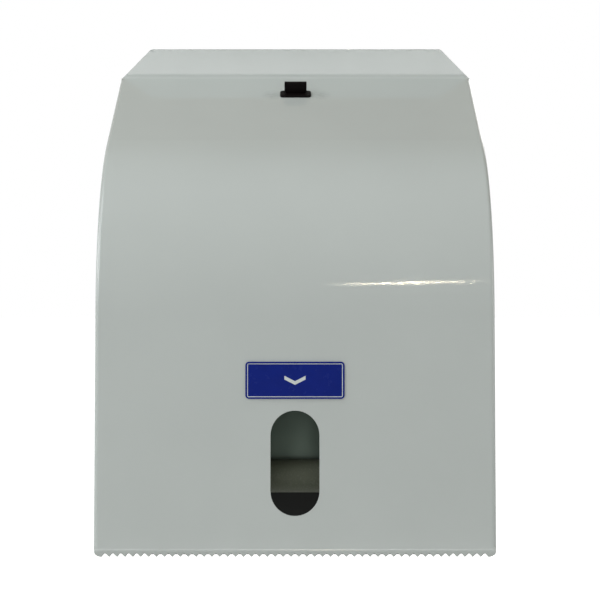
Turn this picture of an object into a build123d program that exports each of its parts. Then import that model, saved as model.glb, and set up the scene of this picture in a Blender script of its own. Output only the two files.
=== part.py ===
from build123d import *
import os
from math import acos, asin, atan2, cos, degrees, hypot, pi, radians, sin, sqrt, tan

os.makedirs("parts", exist_ok=True)

# Lever paper towel dispenser. X runs across, the wall is the plane Y = 0 with the room towards -Y,
# and Z is up. The origin is the centre of the four wall-screw slots, on the wall.
# Heights below are measured up from the roots of the tear edge, on the SIDE and FRONT planes.

# ---- driving dimensions, mm and degrees ----
WIDTH = 265.0            # across the cover
DEPTH = 225.0            # wall to the tear edge
ROOF_HEIGHT = 317.2      # tear edge to the bend between roof and upstand
UPSTAND = 21.4           # height of the upstand above that bend
SCREW_CENTRE = 170.0     # tear edge to the centre of the wall-screw pattern
ROOF_SLOPE = 22.9        # fall of the roof towards the room
FRONT_LEAN = 8.8         # outward lean of the flat front towards its foot
DOME_RADIUS = 144.2      # outside of the big bend between roof and front
VALLEY_RADIUS = 3.5      # bend between roof and upstand
EDGE_ROUND = 3.0         # outside bend between cover and its sides
COVER_SHEET = 1.2
PLATE_SHEET = 1.5
FRAME_SHEET = 2.0
ROLL_WIDTH = 203.0       # the towel roll the arms take
ROLL_HEIGHT = 157.0      # hub axis above the tear edge
ROLL_REACH = 98.0        # hub axis from the wall
FRAME_INSIDE = 111.0     # centre plane to the inner face of a side frame
ROLLER_RADIUS = 11.2
NIP_HEIGHT = 45.7        # both roller axes above the tear edge
NIP_REACH = DEPTH - 46.35        # nip line from the wall
COVER_OPENING = 85.0     # how far the cover swings down

# ---- named clearances ----
RUN = 0.06               # radial, shaft turning in a hole
SEAT = 0.02              # radial, pin fixed in a hole
LOOSE = 0.3              # between faces that pass each other
WALL_GAP = 0.6           # cover sides to the wall
PLATE_GAP = 0.5          # cover upstand to the back plate
SIDE_GAP = 0.7           # cover side to the back plate's flange
COIL_PITCH = 2.3         # of a spring's turns, in wire radii

EDGE_Z = -SCREW_CENTRE
SIDE = Plane(origin=(0, 0, EDGE_Z), x_dir=(0, 1, 0), z_dir=(1, 0, 0))     # local (Y, height)
FRONT = Plane(origin=(0, 0, EDGE_Z), x_dir=(1, 0, 0), z_dir=(0, -1, 0))   # local (X, height)

slope = radians(ROOF_SLOPE)
lean = radians(FRONT_LEAN)
half_width = WIDTH / 2
inner_half = half_width - COVER_SHEET
upstand_back = PLATE_SHEET + PLATE_GAP
upstand_face = upstand_back + COVER_SHEET
flange_face = inner_half - SIDE_GAP
flange_inside = flange_face - PLATE_SHEET


def roof_at(y, inset=0.0):
    """Height of the roof at y, or of the surface that lies inset below it."""
    return ROOF_HEIGHT - inset / cos(slope) + (y + upstand_face) * tan(slope)


def front_at(height, inset=0.0):
    """Y of the flat front at a height, or of the surface that lies inset behind it."""
    return -DEPTH + inset / cos(lean) + height * tan(lean)


def apex(inset=0.0):
    """Where roof and front would meet without the dome bend."""
    fall = tan(slope)
    height = (roof_at(front_at(0, inset), inset)) / (1 - tan(lean) * fall)
    return front_at(height, inset), height


def polar(centre, radius, angle):
    """Point at a radius and an angle in degrees from a (Y, height) centre."""
    return centre[0] + radius * cos(radians(angle)), centre[1] + radius * sin(radians(angle))


def direction(start, end):
    """Angle in degrees from one (Y, height) point to another."""
    return degrees(atan2(end[1] - start[1], end[0] - start[0]))


def upper_corner(left, right, from_left, from_right):
    """Third corner of a triangle on the base left-right, on its upper side."""
    base = hypot(right[0] - left[0], right[1] - left[1])
    along = (from_left**2 - from_right**2 + base**2) / (2 * base)
    rise = sqrt(from_left**2 - along**2)
    tilt = radians(direction(left, right))
    return (left[0] + along * cos(tilt) - rise * sin(tilt), left[1] + along * sin(tilt) + rise * cos(tilt))


def across(centre, x):
    """Plane normal to X at x, with its origin on a (Y, height) centre and its own axes like SIDE."""
    return Plane(origin=(x, centre[0], EDGE_Z + centre[1]), x_dir=(0, 1, 0), z_dir=(1, 0, 0))


def rod(centre, radius, start, end):
    """Round bar along X between two X values, about a (Y, height) centre."""
    with BuildPart() as bar:
        with BuildSketch(across(centre, start)):
            Circle(radius)
        extrude(amount=end - start)
    return bar.part


def turned(plane, angle):
    """The plane, turned about its own normal."""
    return Plane(plane.location * Rotation(0, 0, angle))


def torsion_spring(start, radius, wire, length, arm_one, arm_two):
    """Wire coil about the normal of the plane start, with a tangent arm (angle, reach) at each end."""
    part_turn = (arm_two[0] - arm_one[0] - 180) % 360 / 360
    turns = part_turn + max(1, int(length / (COIL_PITCH * wire) - part_turn))
    upright_coil = Helix(pitch=length / turns, height=length, radius=radius)
    coil = turned(start, arm_one[0] + 90).from_local_coords(upright_coil)
    first_end = (coil @ 0) - (coil % 0) * arm_one[1]
    last_end = (coil @ 1) + (coil % 1) * arm_two[1]
    path = Wire([Edge.make_line(first_end, coil @ 0), coil, Edge.make_line(coil @ 1, last_end)])
    with BuildPart() as spring:
        with BuildSketch(Plane(origin=first_end, z_dir=coil % 0)):
            Circle(wire)
        sweep(path=path)
    return spring.part


def cover_block(inset, rear, foot):
    """Solid with the cover's shape drawn in by inset, cut off at a rear Y and a foot height."""
    with BuildPart() as block:
        with BuildSketch(SIDE):
            with BuildLine():
                top = (rear, roof_at(rear, inset))
                toe = (front_at(foot, inset), foot)
                FilletPolyline(top, apex(inset), toe, radius=DOME_RADIUS - inset)
                Polyline(toe, (rear, foot), top)
            make_face()
        extrude(amount=half_width - inset, both=True)
        rims = faces().filter_by(Axis.X).edges().filter_by(Axis.Y, reverse=True)
        fillet(rims.filter_by(Axis.Z, reverse=True), EDGE_ROUND - inset)
    return block.part


# ---- front cover: one enamelled sheet with upstand, roof, dome, front, sides and tear edge ----
HINGE = (-14.0, 14.0)            # hinge axis (Y, height)
HINGE_PIN = 3.0                  # radius
SIDE_FOOT = 3.0                  # lower edge of the cover's sides
HEEL_ROUND = 11.0                # lower rear corner, so that it clears the wall as it swings
CHAMFER_FOOT = ROOF_HEIGHT - 1.7
UPSTAND_ROUND = 4.0              # upper corners of the upstand
TOOTH_PITCH = 5.2
TOOTH_DEPTH = 2.6
NOTCH_ANGLE = 39.0               # half the angle between two teeth
NOTCH_ROUND = 0.7                # at the root between two teeth
TEETH_MARGIN = 5.0               # plain edge left at each end
LIP_BEND = 5.0                   # outside radius of the bend above the teeth
LIP_TURN = 45.0                  # how far the lip turns inwards
CORNER_ROUND = 5.0               # lower front corners, seen from the front
WINDOW_WIDTH = 32.3
WINDOW_HEIGHT = 68.5
WINDOW_CENTRE = 58.6
STUD_RADIUS = 2.5                # travel limit stud
STUD_REACH = 20.0                # from the hinge axis
STUD_ANGLE = 80.0                # direction from the hinge axis with the cover shut

# latch, measured down the roof from the bend at its rear
ROOF = Plane(
    origin=(0, -upstand_face, EDGE_Z + ROOF_HEIGHT),
    x_dir=(1, 0, 0),
    z_dir=(0, -sin(slope), cos(slope)),
)                                # local (X, up the slope), normal out of the roof
FLANGE_WIDTH = 23.0
FLANGE_LENGTH = 10.5
FLANGE_START = 30.0
FLANGE_RISE = 1.6
FLANGE_ROUND = 2.8
TONGUE_WIDTH = 16.4
TONGUE_RISE = 9.4
TONGUE_THICK = 2.6
LATCH_PIVOT = 34.0               # down the slope
LATCH_SINK = 5.0                 # below the roof's outer surface
CHEEK_WIDTH = 2.1
NECK_WIDTH = 14.0
flange_middle = FLANGE_START + FLANGE_LENGTH / 2
cheek_outside = NECK_WIDTH / 2 + LOOSE + CHEEK_WIDTH
cheek_length = FLANGE_LENGTH - 2.2

cavity = cover_block(COVER_SHEET, 2 * WALL_GAP, -1.0)
lip_start = (front_at(SIDE_FOOT), SIDE_FOOT)
lip_centre = polar(lip_start, LIP_BEND, -FRONT_LEAN)
lip_angle = 180 - FRONT_LEAN
lip_end = polar(lip_centre, LIP_BEND, lip_angle + LIP_TURN)
tail_angle = lip_angle + LIP_TURN + 90
tail_length = (lip_end[1] + TOOTH_DEPTH) / -sin(radians(tail_angle))
tail_end = polar(lip_end, tail_length, tail_angle)
tooth_count = int((WIDTH - 2 * TEETH_MARGIN) / TOOTH_PITCH)
notch_rise = TOOTH_DEPTH + NOTCH_ROUND * (1 / sin(radians(NOTCH_ANGLE)) - 1)
notch_half = notch_rise * tan(radians(NOTCH_ANGLE))

# the lip below the front: bent inwards, with rounded ends
with BuildPart() as lip:
    with BuildSketch(SIDE):
        with BuildLine():
            outer = CenterArc(lip_centre, LIP_BEND, lip_angle, LIP_TURN)
            inner = CenterArc(lip_centre, LIP_BEND - COVER_SHEET, lip_angle, LIP_TURN)
            inner_end = polar(tail_end, COVER_SHEET, tail_angle + 90)
            Polyline(outer @ 1, tail_end, inner_end, inner @ 1)
            # short straight stretch that runs up into the front
            joint = [polar(tuple(end @ 0), COVER_SHEET, 90 - FRONT_LEAN) for end in (inner, outer)]
            Polyline(inner @ 0, *joint, outer @ 0)
        make_face()
    extrude(amount=half_width, both=True)
    with BuildSketch(FRONT.offset(DEPTH + LIP_BEND)):
        with Locations((0, -TOOTH_DEPTH)):
            RectangleRounded(WIDTH, 4 * CORNER_ROUND, CORNER_ROUND, align=(Align.CENTER, Align.MIN))
    extrude(amount=-4 * LIP_BEND, mode=Mode.INTERSECT)
    # its ends follow the rounded edges of the front
    with BuildSketch(Plane.XY.offset(EDGE_Z - TOOTH_DEPTH)):
        with Locations((0, -DEPTH)):
            RectangleRounded(WIDTH, 4 * LIP_BEND, EDGE_ROUND, align=(Align.CENTER, Align.MIN))
    extrude(amount=4 * LIP_BEND, mode=Mode.INTERSECT)
    with BuildSketch(FRONT.offset(DEPTH + LIP_BEND)):
        with Locations((0, -TOOTH_DEPTH)):
            with GridLocations(TOOTH_PITCH, 0, tooth_count, 1):
                Polygon((-notch_half, 0), (notch_half, 0), (0, notch_rise), align=None)
        fillet(vertices().group_by(Axis.Y)[-1], NOTCH_ROUND)
    extrude(amount=-4 * LIP_BEND, mode=Mode.SUBTRACT)

with BuildPart() as front_cover:
    add(cover_block(0, -WALL_GAP, SIDE_FOOT))
    heel = edges().filter_by(Axis.X).group_by(Axis.Z)[0].sort_by(Axis.Y)[-1]
    fillet(heel, HEEL_ROUND)
    add(cavity, mode=Mode.SUBTRACT)
    # room for the back plate behind roof and upstand, between the sides
    with BuildSketch(FRONT.offset(upstand_back)):
        with Locations((0, -1.0)):
            Rectangle(2 * inner_half, ROOF_HEIGHT + 2 * UPSTAND, align=(Align.CENTER, Align.MIN))
    extrude(amount=-2 * upstand_back, mode=Mode.SUBTRACT)
    # upstand, joined to the roof by a concave bend
    with BuildSketch(FRONT.offset(upstand_back)):
        with Locations((0, ROOF_HEIGHT - COVER_SHEET / 2)):
            upstand_size = UPSTAND + COVER_SHEET / 2
            Rectangle(WIDTH - COVER_SHEET, upstand_size, align=(Align.CENTER, Align.MIN))
    extrude(amount=COVER_SHEET)
    with BuildSketch(SIDE):
        with BuildLine():
            bend_top = (-upstand_face, ROOF_HEIGHT + VALLEY_RADIUS)
            corner = (-upstand_face, ROOF_HEIGHT)
            bend_foot = polar(corner, VALLEY_RADIUS, 180 + ROOF_SLOPE)
            bend = FilletPolyline(bend_top, corner, bend_foot, radius=VALLEY_RADIUS)
            Polyline(bend_foot, (-upstand_face + COVER_SHEET / 2, ROOF_HEIGHT - COVER_SHEET / 2), bend_top)
        make_face()
    extrude(amount=half_width, both=True)
    # 45 degree corners
    with BuildSketch(FRONT.offset(upstand_face + 2 * VALLEY_RADIUS)):
        leg = ROOF_HEIGHT + UPSTAND - CHAMFER_FOOT + COVER_SHEET
        with BuildLine():
            Polyline(
                (half_width, CHAMFER_FOOT),
                (half_width + COVER_SHEET, CHAMFER_FOOT),
                (half_width + COVER_SHEET, CHAMFER_FOOT + leg),
                (half_width - leg, CHAMFER_FOOT + leg),
                close=True,
            )
        make_face()
        mirror(about=Plane.YZ)
    extrude(amount=-(upstand_face + 2 * VALLEY_RADIUS), mode=Mode.SUBTRACT)
    fillet(edges().filter_by(Axis.Y).group_by(Axis.Z)[-1], UPSTAND_ROUND)
    add(lip.part)
    # window, latch opening and hinge holes
    with BuildSketch(FRONT.offset(DEPTH + LIP_BEND)):
        with Locations((0, WINDOW_CENTRE)):
            SlotOverall(WINDOW_HEIGHT, WINDOW_WIDTH, rotation=90)
    extrude(amount=-6 * LIP_BEND, mode=Mode.SUBTRACT)
    with BuildSketch(ROOF):
        with Locations((0, -flange_middle)):
            Rectangle(2 * (cheek_outside + LOOSE / 2), cheek_length + LOOSE)
    extrude(amount=4 * COVER_SHEET, both=True, mode=Mode.SUBTRACT)
    with BuildSketch(SIDE.offset(-half_width - 1)):
        with Locations(HINGE):
            Circle(HINGE_PIN + RUN)
    extrude(amount=WIDTH + 2, mode=Mode.SUBTRACT)
front_cover.part.label = "front_cover"
export_step(front_cover.part, "parts/front_cover.step")

# ---- back plate: tray with side flanges, wall slots and an upstand of its own ----
PLATE_FOOT = 4.0
FLANGE_DEPTH = 42.0
FLANGE_TOP = ROOF_HEIGHT - 32.2
FOOT_LIP = 14.0
SLOT_LENGTH = 12.0
SLOT_WIDTH = 5.5
SLOT_SPACING_X = 150.0
SLOT_SPACING_Z = 180.0
HEAD_INSET = 2.6                 # how far the plate's edge stays inside the cover's upstand
SCREW_RADIUS = 2.0
FOOT_WIDTH = 16.0                # foot of a side frame
foot_middle = FRAME_INSIDE + FRAME_SHEET - FOOT_WIDTH / 2 - FRAME_SHEET / 2
FOOT_SCREWS = (42.0, 106.0)      # heights
BRACKET_WIDTH = 24.0
BRACKET_HEIGHT = 46.0
RIVET_RADIUS = 1.6
RIVET_OFFSET = 18.0              # above and below the hub axis
ARM_PLANE = ROLL_WIDTH / 2 + 5.8  # middle of a roll arm's thickness
STRIKE_WIDTH = 20.0
STRIKE_RIVETS = 12.0             # spacing
STRIKE_RIVET_HEIGHT = ROOF_HEIGHT - 30.2
stud_seat = polar(HINGE, STUD_REACH, STUD_ANGLE)
plate_top = ROOF_HEIGHT + UPSTAND - HEAD_INSET
plate_shoulder = CHAMFER_FOOT - HEAD_INSET

with BuildPart() as back_plate:
    with BuildSketch(FRONT):
        with BuildLine():
            Polyline(
                (0, PLATE_FOOT),
                (flange_face, PLATE_FOOT),
                (flange_face, plate_shoulder),
                (flange_face - (plate_top - plate_shoulder), plate_top),
                (0, plate_top),
            )
            mirror(about=Plane.YZ)
        make_face()
        with Locations((0, SCREW_CENTRE)):
            with GridLocations(SLOT_SPACING_X, SLOT_SPACING_Z, 2, 2):
                SlotOverall(SLOT_LENGTH, SLOT_WIDTH, mode=Mode.SUBTRACT)
        with Locations(*[(side * foot_middle, h) for side in (-1, 1) for h in FOOT_SCREWS]):
            Circle(SCREW_RADIUS + SEAT, mode=Mode.SUBTRACT)
        with Locations((0, ROLL_HEIGHT)):
            with GridLocations(2 * ARM_PLANE, 2 * RIVET_OFFSET, 2, 2):
                Circle(RIVET_RADIUS + SEAT, mode=Mode.SUBTRACT)
        with Locations((0, STRIKE_RIVET_HEIGHT)):
            with GridLocations(STRIKE_RIVETS, 0, 2, 1):
                Circle(RIVET_RADIUS + SEAT, mode=Mode.SUBTRACT)
    extrude(amount=PLATE_SHEET)
    with BuildSketch(SIDE.offset(flange_inside)):
        with BuildLine():
            Polyline(
                (0, PLATE_FOOT),
                (-FLANGE_DEPTH, PLATE_FOOT),
                (-FLANGE_DEPTH, FLANGE_TOP - FLANGE_DEPTH / 2),
                (-FLANGE_DEPTH / 2, FLANGE_TOP),
                (0, FLANGE_TOP),
                close=True,
            )
        make_face()
        with Locations(HINGE):
            Circle(HINGE_PIN + SEAT, mode=Mode.SUBTRACT)
        with BuildLine():
            travel = CenterArc(HINGE, STUD_REACH, STUD_ANGLE, COVER_OPENING)
        SlotArc(travel, 2 * (STUD_RADIUS + LOOSE), mode=Mode.SUBTRACT)
    extrude(amount=PLATE_SHEET)
    mirror(about=Plane.YZ)
    with BuildSketch(SIDE):
        with Locations((0, PLATE_FOOT)):
            Rectangle(FOOT_LIP, PLATE_SHEET, align=(Align.MAX, Align.MIN))
    extrude(amount=flange_inside, both=True)
back_plate.part.label = "back_plate"
export_step(back_plate.part, "parts/back_plate.step")

# ---- cover hinge: rivets in the flanges, washers, and the studs that limit the travel ----
HEAD_THICK = 1.5
HEAD_RADIUS = 5.5
WASHER_THICK = SIDE_GAP - 0.1
with BuildPart() as hinge_rivets:
    outside = half_width + LOOSE / 3
    add(rod(HINGE, HINGE_PIN, flange_inside, outside))
    add(rod(HINGE, HEAD_RADIUS, flange_inside - HEAD_THICK, flange_inside))
    add(rod(HINGE, HEAD_RADIUS, outside, outside + HEAD_THICK))
    fillet(faces().sort_by(Axis.X)[-1].edges(), HEAD_THICK / 2)
    mirror(about=Plane.YZ)
hinge_rivets.part.label = "hinge_rivets"
export_step(hinge_rivets.part, "parts/hinge_rivets.step")

with BuildPart() as hinge_washers:
    with BuildSketch(SIDE.offset(flange_face)):
        with Locations(HINGE):
            Circle(2.4 * HINGE_PIN)
            Circle(HINGE_PIN + RUN, mode=Mode.SUBTRACT)
    extrude(amount=WASHER_THICK)
    mirror(about=Plane.YZ)
hinge_washers.part.label = "hinge_washers"
export_step(hinge_washers.part, "parts/hinge_washers.step")

with BuildPart() as limit_studs:
    stud_tip = flange_inside - LOOSE - HEAD_THICK
    add(rod(stud_seat, STUD_RADIUS, stud_tip, inner_half))
    add(rod(stud_seat, STUD_RADIUS + HEAD_THICK, stud_tip, stud_tip + HEAD_THICK))
    mirror(about=Plane.YZ)
limit_studs.part.label = "limit_studs"
export_step(limit_studs.part, "parts/limit_studs.step")

# ---- badge: plain rounded plate with a sunk field, on the flat front ----
BADGE_WIDTH = 65.6
BADGE_HEIGHT = 24.6
BADGE_ROUND = 2.5
BADGE_THICK = 0.8
BADGE_RIM = 1.2
BADGE_MIDDLE = 112.6
BADGE_FACE = Plane(
    origin=(0, front_at(BADGE_MIDDLE), EDGE_Z + BADGE_MIDDLE),
    x_dir=(1, 0, 0),
    z_dir=(0, -cos(lean), sin(lean)),
)
with BuildPart() as badge:
    with BuildSketch(BADGE_FACE):
        RectangleRounded(BADGE_WIDTH, BADGE_HEIGHT, BADGE_ROUND)
    extrude(amount=BADGE_THICK)
    with BuildSketch(BADGE_FACE.offset(BADGE_THICK)):
        field = (BADGE_WIDTH - 2 * BADGE_RIM, BADGE_HEIGHT - 2 * BADGE_RIM)
        RectangleRounded(*field, BADGE_ROUND - BADGE_RIM)
    extrude(amount=-BADGE_THICK / 4, mode=Mode.SUBTRACT)
badge.part.label = "badge"
export_step(badge.part, "parts/badge.step")

# ---- latch: bezel with cheeks, lever with tongue and hook, pin, spring, and the strike it meets ----
LATCH_PIN = 1.0
BARREL = 2.7
HOOK_WIDTH = 6.0
HOOK_THICK = 2.0
HOOK_REACH = 12.0                # tip of the hook from the wall
BARB_DEPTH = 2.5
BARB_THICK = 2.5
BARB_GAP = 0.6                   # barb above the strike's lip
STRIKE_SHEET = 1.5
latch_point = ROOF.from_local_coords(Vector(0, -LATCH_PIVOT, -LATCH_SINK))
LATCH = (latch_point.Y, latch_point.Z - EDGE_Z)
TONGUE = Plane(
    origin=latch_point,
    x_dir=(0, cos(slope), sin(slope)),
    z_dir=(1, 0, 0),
)                                # local (up the slope, out of the roof)
SLOT_FRONT = 1.8                 # room for the tongue to tip forwards
hook_low = LATCH[1] - HOOK_THICK / 2
barb_tip = hook_low - BARB_DEPTH

with BuildPart() as latch_bezel:
    with BuildSketch(ROOF):
        with Locations((0, -flange_middle)):
            RectangleRounded(FLANGE_WIDTH, FLANGE_LENGTH, FLANGE_ROUND)
    extrude(amount=FLANGE_RISE)
    fillet(faces().sort_by(Axis((0, 0, 0), ROOF.z_dir))[-1].edges(), FLANGE_RISE / 3)
    with BuildSketch(ROOF):
        with Locations((0, -flange_middle)):
            with GridLocations(2 * cheek_outside - CHEEK_WIDTH, 0, 2, 1):
                Rectangle(CHEEK_WIDTH, cheek_length)
    extrude(amount=-(LATCH_SINK + BARREL + LOOSE))
    with BuildSketch(ROOF.offset(FLANGE_RISE)):
        slot_back = -(LATCH_PIVOT - TONGUE_THICK - LOOSE)
        with Locations((0, slot_back)):
            slot_size = TONGUE_THICK + LOOSE + SLOT_FRONT
            Rectangle(NECK_WIDTH + 2 * LOOSE, slot_size, align=(Align.CENTER, Align.MAX))
    extrude(amount=-2 * FLANGE_RISE, mode=Mode.SUBTRACT)
    add(rod(LATCH, LATCH_PIN + SEAT, -FLANGE_WIDTH, FLANGE_WIDTH), mode=Mode.SUBTRACT)
latch_bezel.part.label = "latch_bezel"
export_step(latch_bezel.part, "parts/latch_bezel.step")

with BuildPart() as latch_lever:
    bezel_top = LATCH_SINK + FLANGE_RISE + LOOSE * 2
    tongue_top = LATCH_SINK + TONGUE_RISE
    with BuildSketch(TONGUE):
        Rectangle(TONGUE_THICK, bezel_top, align=Align.MIN)
        Circle(BARREL)
    extrude(amount=NECK_WIDTH / 2, both=True)
    with BuildSketch(TONGUE):
        with Locations((0, bezel_top)):
            Rectangle(TONGUE_THICK, tongue_top - bezel_top, align=Align.MIN)
    extrude(amount=TONGUE_WIDTH / 2, both=True)
    fillet(faces().sort_by(Axis((0, 0, 0), TONGUE.y_dir))[-1].edges(), TONGUE_THICK / 4)
    with BuildSketch(SIDE):
        with BuildLine():
            Polyline(
                (LATCH[0], hook_low),
                (-HOOK_REACH - BARB_THICK, hook_low),
                (-HOOK_REACH - BARB_THICK, barb_tip),
                (-HOOK_REACH, barb_tip + BARB_DEPTH / 2),
                (-HOOK_REACH, hook_low + HOOK_THICK),
                (LATCH[0], hook_low + HOOK_THICK),
                close=True,
            )
        make_face()
    extrude(amount=HOOK_WIDTH / 2, both=True)
    add(rod(LATCH, LATCH_PIN + RUN, -FLANGE_WIDTH, FLANGE_WIDTH), mode=Mode.SUBTRACT)
    # room for the spring at one end of the barrel
    add(rod(LATCH, BARREL + LOOSE, HOOK_WIDTH / 2, NECK_WIDTH), mode=Mode.SUBTRACT)
latch_lever.part.label = "latch_lever"
export_step(latch_lever.part, "parts/latch_lever.step")

latch_pin = rod(LATCH, LATCH_PIN, -cheek_outside, cheek_outside)
latch_pin.label = "latch_pin"
export_step(latch_pin, "parts/latch_pin.step")

with BuildPart() as latch_strike:
    lip_front = -HOOK_REACH - BARB_THICK - STRIKE_SHEET - 1.0
    lip_back = lip_front - STRIKE_SHEET
    lip_top = barb_tip - BARB_GAP
    shelf = lip_top - STRIKE_SHEET - 2 * LOOSE
    strike_foot = STRIKE_RIVET_HEIGHT - STRIKE_RIVETS / 2
    with BuildSketch(SIDE):
        with BuildLine():
            Polyline(
                (-PLATE_SHEET, strike_foot),
                (-PLATE_SHEET - STRIKE_SHEET, strike_foot),
                (-PLATE_SHEET - STRIKE_SHEET, shelf - STRIKE_SHEET),
                (lip_back, shelf - STRIKE_SHEET),
                (lip_back, lip_top),
                (lip_front, lip_top),
                (lip_front, shelf),
                (-PLATE_SHEET, shelf),
                close=True,
            )
        make_face()
    extrude(amount=STRIKE_WIDTH / 2, both=True)
    with BuildSketch(FRONT):
        with Locations((0, STRIKE_RIVET_HEIGHT)):
            with GridLocations(STRIKE_RIVETS, 0, 2, 1):
                Circle(RIVET_RADIUS + SEAT)
    extrude(amount=2 * PLATE_SHEET + STRIKE_SHEET, mode=Mode.SUBTRACT)
latch_strike.part.label = "latch_strike"
export_step(latch_strike.part, "parts/latch_strike.step")


# ---- side frames: two upright plates that carry the rollers, gears and lever ----
nip_line = -NIP_REACH
FEED = (nip_line + ROLLER_RADIUS + LOOSE / 2, NIP_HEIGHT)      # driven roller, behind the paper
NIP = (nip_line - ROLLER_RADIUS - LOOSE / 2, NIP_HEIGHT)       # sprung roller, in front of it
SECTOR_MODULE = 1.25
SECTOR_TEETH = 60                # of a whole ring
PINION_TEETH = 12
WHEEL_MODULE = 1.0
WHEEL_TEETH = 40
FEED_TEETH = 18
SHAFT = 4.0
NIP_SHAFT = 3.0
BUSH_RADIUS = 6.5
IDLER_PIN = 3.0
LEVER_STUD = 4.0
STUD_TAIL = 2.5
YOKE_PIVOT = (nip_line - 7.35, 100.0)
YOKE_JOURNAL = 3.0
LEVER = (FEED[0] + 46.0, 44.0)
sector_radius = SECTOR_MODULE * SECTOR_TEETH / 2
pinion_radius = SECTOR_MODULE * PINION_TEETH / 2
wheel_radius = WHEEL_MODULE * WHEEL_TEETH / 2
feed_gear_radius = WHEEL_MODULE * FEED_TEETH / 2
IDLER = upper_corner(FEED, LEVER, wheel_radius + feed_gear_radius, sector_radius + pinion_radius)
SPRING_ANCHOR = (LEVER[0] + 23.3, 58.0)
LEVER_REST = direction(LEVER, (LEVER[0] - 23.7, -11.0))
GUIDE_TAB = 9.0
GUIDE_SHEET = 1.5
GUIDE_LOW = (nip_line + 1.65, 55.0)
GUIDE_HIGH = (nip_line + 8.15, 89.0)
EXIT_HIGH = (nip_line + 4.05, 32.0)
EXIT_LOW = (nip_line + 8.25, 14.0)
EXIT_TAIL = (nip_line + 18.65, 8.5)
EXIT_SHEET = 2.0
FRAME_CORNER = 7.0
frame_outside = FRAME_INSIDE + FRAME_SHEET
frame_back = -PLATE_SHEET
FRAME_OUTLINE = (
    (frame_back, 24.0),
    (nip_line + 86.65, 24.0),
    (nip_line + 48.65, 13.0),
    (nip_line - 9.35, 13.0),
    (nip_line - 22.35, 34.0),
    (nip_line - 22.35, 96.0),
    (nip_line - 7.35, 112.0),
    (nip_line + 18.65, 102.0),
    (nip_line + 108.65, 92.0),
    (-20.0, 124.0),
    (frame_back, 124.0),
)


def guide_tab(low, high, sheet, fit):
    """Sketch the tab at the middle of a guide's end; fit is the clearance round it."""
    middle = ((low[0] + high[0]) / 2, (low[1] + high[1]) / 2)
    with Locations(Location((*middle, 0), (0, 0, direction(low, high)))):
        Rectangle(GUIDE_TAB + 2 * fit, sheet + 2 * fit)


for side, hand in ((-1, "left"), (1, "right")):
    with BuildPart() as side_frame:
        with BuildSketch(SIDE.offset(side * FRAME_INSIDE)):
            with BuildLine():
                Polyline(*FRAME_OUTLINE, close=True)
            make_face()
            fillet([v for v in vertices() if v.X < frame_back - 1], FRAME_CORNER)
            for centre, radius in (
                (FEED, BUSH_RADIUS + SEAT),
                (LEVER, STUD_TAIL + SEAT),
                (IDLER if side > 0 else SPRING_ANCHOR, STUD_TAIL + SEAT),
                (YOKE_PIVOT, YOKE_JOURNAL + RUN),
            ):
                with Locations(centre):
                    Circle(radius, mode=Mode.SUBTRACT)
        extrude(amount=side * FRAME_SHEET)
        with BuildSketch(SIDE.offset(side * (FRAME_INSIDE - 1))):
            guide_tab(GUIDE_LOW, GUIDE_HIGH, GUIDE_SHEET, SEAT * 5)
            guide_tab(EXIT_LOW, EXIT_HIGH, EXIT_SHEET, SEAT * 5)
        extrude(amount=side * (FRAME_SHEET + 2), mode=Mode.SUBTRACT)
        with BuildSketch(FRONT.offset(PLATE_SHEET)):
            with Locations((side * foot_middle, 24.0)):
                Rectangle(FOOT_WIDTH, 100.0, align=(Align.CENTER, Align.MIN))
            with Locations(*[(side * foot_middle, h) for h in FOOT_SCREWS]):
                Circle(SCREW_RADIUS + SEAT, mode=Mode.SUBTRACT)
        extrude(amount=FRAME_SHEET)
    side_frame.part.label = f"side_frame_{hand}"
    export_step(side_frame.part, f"parts/side_frame_{hand}.step")

SCREW_HEAD = 3.8
with BuildPart() as frame_screws:
    with BuildSketch(FRONT):
        with Locations(*[(side * foot_middle, h) for side in (-1, 1) for h in FOOT_SCREWS]):
            Circle(SCREW_RADIUS)
    extrude(amount=PLATE_SHEET + FRAME_SHEET)
    with BuildSketch(FRONT.offset(PLATE_SHEET + FRAME_SHEET)):
        with Locations(*[(side * foot_middle, h) for side in (-1, 1) for h in FOOT_SCREWS]):
            Circle(SCREW_HEAD)
    extrude(amount=2.4)
    fillet(faces().sort_by(Axis.Y)[:4].edges(), 1.0)
    with BuildSketch(FRONT.offset(PLATE_SHEET + FRAME_SHEET + 2.4)):
        with Locations(*[(side * foot_middle, h) for side in (-1, 1) for h in FOOT_SCREWS]):
            Rectangle(4.4, 0.9)
            Rectangle(0.9, 4.4)
    extrude(amount=-1.2, mode=Mode.SUBTRACT)
frame_screws.part.label = "frame_screws"
export_step(frame_screws.part, "parts/frame_screws.step")

# ---- guides: a plate above the driven roller and a black moulded one below the nip ----
with BuildPart() as paper_guide:
    with BuildSketch(SIDE.offset(-FRAME_INSIDE)):
        with BuildLine() as guide_line:
            guide_brow = (GUIDE_HIGH[0] + 5.0, GUIDE_HIGH[1] + 1.5)
            FilletPolyline(GUIDE_LOW, GUIDE_HIGH, guide_brow, radius=2.0)
            offset(amount=GUIDE_SHEET / 2, side=Side.BOTH)
        make_face()
    extrude(amount=2 * FRAME_INSIDE)
    with BuildSketch(SIDE.offset(-frame_outside)):
        guide_tab(GUIDE_LOW, GUIDE_HIGH, GUIDE_SHEET, 0)
    extrude(amount=2 * frame_outside)
paper_guide.part.label = "paper_guide"
export_step(paper_guide.part, "parts/paper_guide.step")

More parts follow.
